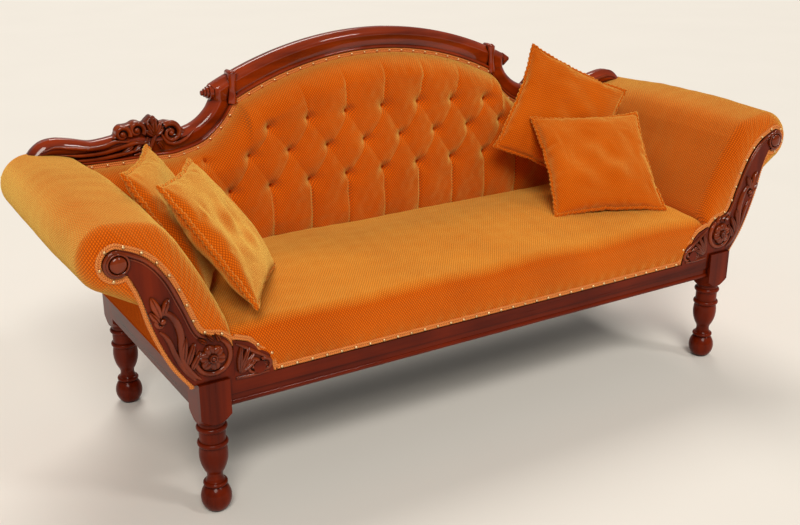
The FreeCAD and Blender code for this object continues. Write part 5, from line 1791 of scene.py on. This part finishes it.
@dataclass
class CrestRail(Upkeep):
    """The moulded arch, its shoulders and wings, with straps, finials and carved scrolls."""

    arch_half: float = 0.487
    arch_top: float = 0.967
    arch_drop: float = 0.1162
    arch_foot: float = 0.8118
    bead_height: float = 0.0080
    ridge_height: float = 0.0065
    edge_fall: float = 0.017
    finial_radius: float = 0.0205
    finial_collar: float = 0.0200
    finial_steps: int = 4
    finial_step: float = 0.007
    finial_height: float = 0.8315
    strap_radius: float = 0.0130
    strap_flat: float = 0.75
    strap_ends: tuple[tuple[float, float], tuple[float, float]] = ((0.4325, 0.800), (0.4300, 0.880))
    strap_points: int = 24
    knob_place: tuple[float, float] = (0.4302, 0.8780)

    @staticmethod
    def bow(half: float, top: float, drop: float, count: int) -> Array:
        """A circle's arc from left to right through a top point, falling by drop at the ends.

        Args:
            half: Half the arc's width.
            top: Its highest point.
            drop: How far it falls.
            count: Points to return.

        Returns:
            Points (x, z).
        """
        radius = (half ** 2 + drop ** 2) / (2 * drop)
        reach = math.asin(half / radius)
        turn = np.linspace(-reach, reach, count)
        return np.stack([radius * np.sin(turn), top - radius + radius * np.cos(turn)], axis=1)

    @staticmethod
    def banded(low: Array, high: Array, moulding: Array, back: float) -> Array:
        """A moulding carried between two lines, closed behind.

        Each ring goes from the lower to the upper line across the front, where the moulding says how proud
        it is, and back along a flat rear face.

        Args:
            low: Points (x, z) of the lower edge.
            high: Points of the upper edge, as many.
            moulding: Points (share across, depth y).
            back: The y of the rear face.

        Returns:
            A grid of points, a closed ring for each place along.
        """
        rear = np.array([[1.0, back - 0.004], [0.96, back], [0.04, back], [0.0, back - 0.004]])
        loop = np.concatenate([moulding, rear, moulding[:1]])
        x = low[:, None, 0] + (high - low)[:, None, 0] * loop[None, :, 0]
        z = low[:, None, 1] + (high - low)[:, None, 1] * loop[None, :, 0]
        return np.stack([x, np.repeat(loop[None, :, 1], len(low), axis=0), z], axis=-1)

    def moulding(self, ridge: float, inner: float) -> Array:
        """The section of the crest.

        It has a bead along the inner edge, a face that rises to a ridge, and a slope that rounds over to the
        outer edge.

        Args:
            ridge: Where the ridge lies, as a share of the way across.
            inner: Where the bead ends.

        Returns:
            Points (share across, depth y).
        """
        t = np.linspace(0.0, 1.0, 80)
        rise = self.ridge_height * np.clip((t - inner) / (ridge - inner), 0.0, 1.0) ** 1.5
        rise = rise - 0.0015 * (t > inner) + self.bead_height * bead(t, inner * 0.48, inner * 0.46)
        fall = self.edge_fall * np.clip((t - ridge) / (1.0 - ridge), 0.0, 1.0) ** 2.2
        return np.stack([t, SIZES.crest_front - rise + fall], axis=1)

    def side_lines(self) -> tuple[Array, Array]:
        """The lower and upper edge of the right shoulder and wing, from the arch to the tip.

        Returns:
            Points (x, z) of both edges.
        """
        end = np.array([SIZES.inner_half, SIZES.inner_top - SIZES.inner_drop])
        foot = np.array([SIZES.shoulder_foot, SIZES.wing_low])
        wing = [(0.65, 0.6845), (0.74, 0.6835), (0.84, 0.685), (0.92, 0.688), (0.972, 0.694)]
        low = np.concatenate([end + SWEEP * (foot - end), wing])
        high = [(self.arch_half, 0.8115), (0.502, 0.787), (0.527, 0.764), (0.556, 0.749), (0.588, 0.743),
                (0.626, 0.747), (0.70, 0.750), (0.752, 0.747), (0.79, 0.742), (0.823, 0.741), (0.868, 0.752),
                (0.907, 0.7585), (0.941, 0.755), (0.968, 0.738), (0.993, 0.709)]
        return smooth_line(low, 150), smooth_line(high, 150)

    def arch(self) -> None:
        """The arch: its moulding between two bows, square at the ends."""
        work = Patchwork()
        low = self.bow(SIZES.inner_half + 0.003, SIZES.inner_top, SIZES.inner_drop + 0.0015, 170)
        high = self.bow(self.arch_half, self.arch_top, self.arch_drop, 170)
        high = np.concatenate([[[-self.arch_half, self.arch_foot]], high, [[self.arch_half, self.arch_foot]]])
        low = np.concatenate([low[:1], low, low[-1:]])
        work.solid(self.banded(low, high, self.moulding(0.66, 0.17), SIZES.crest_back))
        piece = work.build("crest_arch_moulding", sharp=38.0)
        self.settle(piece, self.finishes.crest, "show_wood", ["crest_arch"])

    def wings(self) -> None:
        """Shoulders and wings: the section of the arch carried on from the arch to the tip."""
        low, high = self.side_lines()
        grid = self.banded(low, high, self.moulding(0.62, 0.15), SIZES.crest_back)
        self.pair("crest_wing_moulding", [grid], self.finishes.crest, "show_wood",
                  ["crest_shoulder", "crest_wing"], 38.0)

    def carving(self) -> None:
        """The carved cluster on its board.

        It has a large C-scroll by the dip, a fan of leaves at the peak, two volutes, and long ribs that run
        out along the wing.
        """
        front = SIZES.crest_front - 0.005
        outline = [(0.560, 0.736), (0.576, 0.752), (0.590, 0.765), (0.612, 0.7725), (0.632, 0.772),
                   (0.645, 0.784), (0.658, 0.7925), (0.671, 0.784), (0.682, 0.775), (0.694, 0.781),
                   (0.708, 0.782), (0.722, 0.776), (0.734, 0.7745), (0.748, 0.774), (0.759, 0.765),
                   (0.764, 0.750), (0.772, 0.738), (0.72, 0.716), (0.62, 0.714), (0.572, 0.724)]
        drawn_in = np.array(outline) * 0.94 + np.array([0.0399, 0.0449])
        dip, first, second = (0.612, 0.741), (0.704, 0.759), (0.742, 0.7525)
        grids = [
            plate(drawn_in, SIZES.crest_front, SIZES.crest_back - 0.004),
            scroll(dip, 0.027, 50.0, 1.5, 0.0084, front),
            scroll(first, 0.0205, 215.0, -1.35, 0.0074, front),
            scroll(second, 0.0195, 200.0, -1.35, 0.0070, front),
            rib([(0.630, 0.762), (0.646, 0.752), (0.658, 0.736), (0.668, 0.716), (0.686, 0.700),
                 (0.716, 0.694)], (0.0030, 0.0058, 0.0065, 0.0065, 0.0055, 0.0025), front),
            rib([(0.640, 0.744), (0.624, 0.718), (0.598, 0.712), (0.570, 0.722), (0.548, 0.740)],
                (0.0030, 0.0058, 0.0060, 0.0045, 0.0015), front),
            rib([(0.676, 0.738), (0.684, 0.724), (0.712, 0.726), (0.756, 0.718), (0.800, 0.711),
                 (0.860, 0.712), (0.915, 0.722)],
                (0.0030, 0.0060, 0.0065, 0.0060, 0.0050, 0.0036, 0.0012), front),
            rib([(0.726, 0.731), (0.760, 0.735), (0.792, 0.727), (0.828, 0.726), (0.870, 0.733),
                 (0.915, 0.740), (0.950, 0.733)],
                (0.0030, 0.0056, 0.0060, 0.0055, 0.0046, 0.0036, 0.0012), front),
            rib([(0.690, 0.708), (0.720, 0.705), (0.765, 0.700), (0.815, 0.697), (0.868, 0.699),
                 (0.920, 0.704)], (0.0030, 0.0056, 0.0056, 0.0046, 0.0036, 0.0012), front),
        ]
        peak = (0.658, 0.738)
        for angle, length, width in ((144.0, 0.032, 0.0085), (118.0, 0.044, 0.0095), (91.0, 0.054, 0.0110),
                                     (64.0, 0.044, 0.0095), (38.0, 0.032, 0.0085)):
            grids.append(petal(peak, angle, length, width, 0.0130, front + 0.002, 0.0, 0.25, 0.1))
        for root, angle, length in (((0.674, 0.726), -62.0, 0.030), ((0.694, 0.722), -38.0, 0.032),
                                    ((0.716, 0.720), -30.0, 0.034), ((0.650, 0.722), 232.0, 0.028)):
            grids.append(petal(root, angle, length, 0.0080, 0.0095, front + 0.002, 0.1))
        eye = np.array([[-SUNK, 0.0], [-SUNK, 0.0082], [0.004, 0.0076], [0.0072, 0.0040], [0.0080, 0.0]])
        grids += [lathe(eye, (x, front - 0.001, z), 20) for x, z in (dip, first, second)]
        self.pair("crest_carving", grids, self.finishes.carved, "show_wood", ["crest_volutes"], 60.0)

    def finial(self) -> Array:
        """The right finial: steps of falling radius turned about X, out of the end of the arch.

        Returns:
            A grid of points.
        """
        steps = []
        for count in range(self.finial_steps):
            radius = self.finial_radius * (1 - count / 4.6)
            start = self.finial_step * count
            steps += [[start, radius * 0.93], [start + 0.0012, radius], [start + 0.0048, radius * 0.99],
                      [start + 0.0068, radius * 0.78]]
        collar = [[-SUNK, 0.0], [-SUNK, self.finial_collar]]
        profile = np.array(collar + steps + [[0.0285, 0.0022], [0.0290, 0.0]])
        middle = (SIZES.crest_front + SIZES.crest_back) / 2
        return lathe(profile, (self.arch_half - 0.001, middle, self.finial_height), 40, Axis.OUTWARDS)

    def strap(self) -> list[Array]:
        """The right strap: an oval bar across the arch, slimmer in its middle, with a turned knob on top.

        Returns:
            Closed forms, one grid each.
        """
        count = self.strap_points
        low, high = (np.array(one) for one in self.strap_ends)
        line = smooth_line([low, low + (high - low) * 0.5, high], count)
        waist = 0.70 + 0.30 * np.abs(np.cos(np.linspace(0, np.pi, count))) ** 2
        oval = round_section(18) * np.array([1.0, self.strap_flat])
        bar = carried(line, np.full(count, SIZES.crest_front - 0.004), oval, self.strap_radius * waist)
        profile = np.array([[-0.034, 0.0], [-0.033, 0.0060], [-0.030, 0.0085], [0.004, 0.0095],
                            [0.0085, 0.0082], [0.011, 0.0045], [0.0117, 0.0]])
        x, z = self.knob_place
        return [bar, lathe(profile, (x, SIZES.crest_front, z), 24)]

    def make(self) -> None:
        """Build and dress the whole crest."""
        self.arch()
        self.wings()
        self.carving()
        self.pair("finial_turning", [self.finial()], self.finishes.crest, "show_wood", ["crest_finial"], 35.0)
        self.pair("strap_bead", self.strap(), self.finishes.crest, "show_wood", ["crest_strap"])


@dataclass
class ArmWood(Upkeep):
    """What is carved and turned on the arm facings: beads, roundels, leaves, rosettes and brackets."""

    petals: int = 6
    petal_length: float = 0.0275
    petal_width: float = 0.0138
    petal_height: float = 0.0125
    ring_line: float = 0.0405
    ring_rib: float = 0.0066
    ring_points: int = 110

    @staticmethod
    def facing_beads() -> list[Array]:
        """Half-round beads along the upper edge of the right facing, one at the edge, a finer one inside.

        Returns:
            Closed forms, one grid each.
        """
        grids = []
        for inside, radius, end in ((0.0048, 0.0046, -118.0), (0.0125, 0.0022, -60.0)):
            line = SIZES.facing_line(-inside, 260, end)[26:]
            grow = radius * np.clip(np.linspace(0.0, 9.0, len(line)), 0.2, 1.0)
            depth = np.full(len(line), SIZES.facing_y + 0.0008)
            grids.append(carried(line, depth, round_section(12), grow))
        return grids

    @staticmethod
    def leaf() -> list[Array]:
        """The climbing leaf of the right facing.

        A stem from the rosette rises into a C-scroll with an eye; a leaf lies on top of it, a rib along the
        outer edge and three lobes beside the rosette.

        Returns:
            Closed forms, one grid each.
        """
        front = SIZES.facing_y + 0.001
        eye = np.array([[-SUNK, 0.0], [-SUNK, 0.0078], [0.005, 0.0072], [0.0085, 0.0040], [0.0095, 0.0]])
        grids = [
            rib([(0.818, 0.352), (0.836, 0.370), (0.850, 0.394), (0.858, 0.418), (0.858, 0.442),
                 (0.856, 0.466), (0.862, 0.493), (0.873, 0.515), (0.887, 0.526), (0.900, 0.522),
                 (0.907, 0.509), (0.903, 0.497), (0.894, 0.496)],
                (0.0030, 0.0066, 0.0080, 0.0080, 0.0072, 0.0080, 0.0092, 0.0092, 0.0086, 0.0076, 0.0066,
                 0.0058, 0.0040), front, 110),
            rib([(0.830, 0.353), (0.848, 0.378), (0.862, 0.404), (0.873, 0.431), (0.880, 0.453),
                 (0.890, 0.473), (0.902, 0.486)],
                (0.0030, 0.0062, 0.0068, 0.0066, 0.0066, 0.0060, 0.0030), front),
            lathe(eye, (0.893, front, 0.508), 20),
        ]
        lobes = (((0.897, 0.514), 74.0, 0.056, 0.0125, -0.04), ((0.892, 0.520), 102.0, 0.040, 0.0110, 0.16),
                 ((0.901, 0.506), 60.0, 0.034, 0.0090, -0.06), ((0.854, 0.402), 92.0, 0.060, 0.0105, 0.10),
                 ((0.847, 0.392), 104.0, 0.054, 0.0110, 0.12), ((0.838, 0.380), 112.0, 0.046, 0.0105, 0.14))
        for root, angle, length, width, curl in lobes:
            grids.append(petal(root, angle, length, width, 0.0120, front + 0.001, curl, 0.3, 0.25))
        return grids

    def rosette(self) -> list[Array]:
        """A flower of round petals about a ringed eye, inside a C-scroll.

        Returns:
            Closed forms, one grid each.
        """
        front = SIZES.facing_y
        centre = (SIZES.ring_x + 0.003, SIZES.ring_z - 0.001)
        grids = []
        for number in range(self.petals):
            angle = 360.0 * number / self.petals + 15.0
            turn = math.radians(angle)
            root = (centre[0] + 0.004 * math.cos(turn), centre[1] + 0.004 * math.sin(turn))
            grids.append(petal(root, angle, self.petal_length, self.petal_width, self.petal_height,
                               front + 0.001, 0.0, 0.30, -0.1))
        eye = np.array([[-0.002, 0.0], [-0.002, 0.0100], [0.0108, 0.0102], [0.0145, 0.0086], [0.0142, 0.0064],
                        [0.0120, 0.0054], [0.0148, 0.0034], [0.0158, 0.0]])
        grids.append(lathe(eye, (centre[0], front, centre[1]), 26))
        count = self.ring_points
        ring = arc_line((SIZES.ring_x, SIZES.ring_z), self.ring_line, 112.0, 398.0, count)
        share = np.linspace(0, 1, count)
        grow = self.ring_rib * np.interp(share, [0, 0.12, 0.8, 1], [0.35, 1.0, 1.0, 0.3])
        grids.append(carried(ring, np.full(count, front + 0.001), round_section(14), grow))
        for root, angle, length in (((0.770, 0.432), 78.0, 0.022), ((0.784, 0.436), 60.0, 0.024),
                                    ((0.800, 0.434), 48.0, 0.026)):
            grids.append(petal(root, angle, length, 0.0072, 0.0090, front + 0.001, -0.2))
        return grids

    @staticmethod
    def bracket() -> list[Array]:
        """The right bracket's relief: a gadrooned leaf that fans from the corner, and two small scrolls.

        Returns:
            Closed forms, one grid each.
        """
        front = SIZES.facing_y + 0.001
        inner, outer = (0.694, 0.352), (0.6645, 0.3505)
        grids = [scroll(inner, 0.0185, 70.0, 1.5, 0.0062, front),
                 scroll(outer, 0.0160, 60.0, 1.5, 0.0056, front),
                 rib([(0.733, 0.418), (0.712, 0.404), (0.692, 0.390), (0.674, 0.378), (0.656, 0.366)],
                     (0.0030, 0.0048, 0.0052, 0.0048, 0.0030), front),
                 rib([(0.736, 0.3335), (0.712, 0.3325), (0.690, 0.3325), (0.656, 0.3325)],
                     (0.0040, 0.0046, 0.0046, 0.0030), front)]
        corner = (0.728, 0.345)
        for angle, length, width in ((92.0, 0.066, 0.0085), (110.0, 0.064, 0.0090), (128.0, 0.058, 0.0090),
                                     (147.0, 0.050, 0.0085)):
            grids.append(petal(corner, angle, length, width, 0.0115, front + 0.001, 0.08, 0.25, 0.1))
        eye = np.array([[-SUNK, 0.0], [-SUNK, 0.0056], [0.004, 0.0050], [0.0066, 0.0026], [0.0070, 0.0]])
        grids += [lathe(eye, (x, front, z), 16) for x, z in (inner, outer)]
        return grids

    @staticmethod
    def roundel() -> Array:
        """The roundel in the scroll: a domed button inside a ring, turned about the way to the front.

        Returns:
            A grid of points.
        """
        t = np.linspace(0.0, 1.0, 12)
        dome = np.stack([0.0035 + 0.0085 * np.sin(t * np.pi / 2), 0.0185 * np.cos(t * np.pi / 2)], axis=1)
        rim = np.array([[-0.003, 0.0], [-0.003, 0.0250], [0.0040, 0.0250], [0.0062, 0.0238], [0.0066, 0.0220],
                        [0.0050, 0.0200], [0.0022, 0.0190]])
        return lathe(np.concatenate([rim, dome]), (SIZES.scroll_x, SIZES.facing_y, SIZES.scroll_z), 44)

    def make(self) -> None:
        """Build and dress the carving on both arms."""
        pieces = (("facing_beads", self.facing_beads(), []), ("leaf_relief", self.leaf(), ["leaf_carving"]),
                  ("rosette_relief", self.rosette(), ["rosette"]), ("bracket_relief", self.bracket(), []),
                  ("roundel_turning", [self.roundel()], ["arm_roundel"]))
        for name, grids, nodes in pieces:
            self.pair(name, grids, self.finishes.carved, "show_wood", nodes, 60.0)


@dataclass
class FrameDressing(Upkeep):
    """Finishes of the CAD nodes that keep their own shape."""

    def make(self) -> None:
        """Give each node that is carried over its material."""
        use = self.finishes
        legs = [end + "_" + side + "_leg" for end in ("front", "back") for side in ("left", "right")]
        arm = paired("arm_rear_board") + paired("arm_core_rail") + paired("arm_tack_rail")
        plan = {
            use.wood_x: ["front_rail", "back_rail"] + paired("corner_bracket"),
            use.wood_y: paired("side_rail"),
            use.wood_z: paired("arm_facing") + legs,
            use.lumber: ["corner_braces", "back_uprights", "back_tack_rail"] + arm + paired("back_post"),
            use.jute: ["seat_hessian", "back_webbing"],
            use.lining: ["dust_cover"],
            use.brass: ["upholstery_nails"],
            use.steel: ["seat_springs", "brace_screws"],
        }
        for finish, names in plan.items():
            for name in names:
                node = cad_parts[name]
                node.data.materials.clear()
                node.data.materials.append(finish)
                LOG.info("%s: dressed in %s", name, finish.name)


# Stage


@dataclass(frozen=True)
class SoftBox:
    """One far soft box, as a sun lamp of a wide angle.

    It stands at a height above the floor and a heading to the right of the sofa's front, and fills a width,
    all in degrees. Its strength is in watts per square metre.
    """

    name: str
    height: float
    heading: float
    width: float
    strength: float
    tint: Colour

    def make(self) -> None:
        """Hang the lamp."""
        light = bpy.data.lights.new(self.name, "SUN")
        light.angle = math.radians(self.width)
        light.energy = self.strength
        light.color = self.tint
        lamp = bpy.data.objects.new(self.name, light)
        lamp.rotation_euler = (math.radians(90.0 - self.height), 0.0, math.radians(self.heading))
        bpy.context.scene.collection.objects.link(lamp)


@dataclass
class Studio:
    """Floor, light and camera."""

    lamps: tuple[SoftBox, ...] = (
        SoftBox("key", 44.0, -26.0, 26.0, 1.95, (1.0, 0.95, 0.87)),
        SoftBox("overhead", 50.0, 160.0, 30.0, 1.5, (1.0, 0.96, 0.90)),
        SoftBox("glint", 46.0, 34.0, 9.0, 0.50, (1.0, 0.97, 0.93)),
    )
    world_colour: Colour = (0.90, 0.88, 0.85)
    world_strength: float = 0.26
    floor_colour: Colour = (0.80, 0.765, 0.71)
    floor_reach: float = 40.0
    camera_place: tuple[float, float, float] = (-1.54996, -2.35303, 1.41382)
    camera_tilt: float = 69.387
    camera_heading: float = -31.723
    lens: float = 48.06
    sensor_width: float = 36.0
    far_end: float = 100.0

    def floor(self) -> None:
        """A wide plain floor with a faint unevenness of tone."""
        graph = Graph("pale_floor")
        tone = graph.noise(graph.place(), 1.5, 2.0)
        shade = tuple(0.96 * one for one in self.floor_colour)
        material = graph.dress(Base_Color=graph.mix(tone, shade, self.floor_colour), Roughness=0.8)
        mesh = bpy.data.meshes.new("floor")
        reach = self.floor_reach
        corners = [(-reach, -reach, 0), (reach, -reach, 0), (reach, reach, 0), (-reach, reach, 0)]
        mesh.from_pydata(corners, [], [(0, 1, 2, 3)])
        mesh.materials.append(material)
        floor = bpy.data.objects.new("floor", mesh)
        bpy.context.scene.collection.objects.link(floor)

    def make(self) -> None:
        """Set the stage."""
        scene = bpy.context.scene
        scene.view_settings.view_transform = "Standard"
        self.floor()
        world = bpy.data.worlds.new("studio")
        world.use_nodes = True
        background = world.node_tree.nodes["Background"]
        background.inputs["Color"].default_value = (*self.world_colour, 1.0)
        background.inputs["Strength"].default_value = self.world_strength
        scene.world = world
        for lamp in self.lamps:
            lamp.make()
        camera = bpy.data.cameras.new("camera")
        camera.sensor_fit = "HORIZONTAL"
        camera.sensor_width = self.sensor_width
        camera.lens = self.lens
        camera.clip_end = self.far_end
        eye = bpy.data.objects.new("camera", camera)
        eye.location = self.camera_place
        eye.rotation_euler = (math.radians(self.camera_tilt), 0.0, math.radians(self.camera_heading))
        scene.collection.objects.link(eye)
        scene.camera = eye


def main() -> None:
    """Build every sub-assembly in order."""
    logging.basicConfig(level=logging.INFO, format="%(name)s %(message)s")
    finishes = mix_finishes()
    Studio().make()
    for assembly in (FrameDressing, CrestRail, ArmWood, GimpBraid, ButtonedBack, SprungSeat, RolledArms,
                     OutsideBack, LooseCushions):
        assembly(finishes).make()
    bpy.context.view_layer.update()


if __name__ == "__main__":
    main()
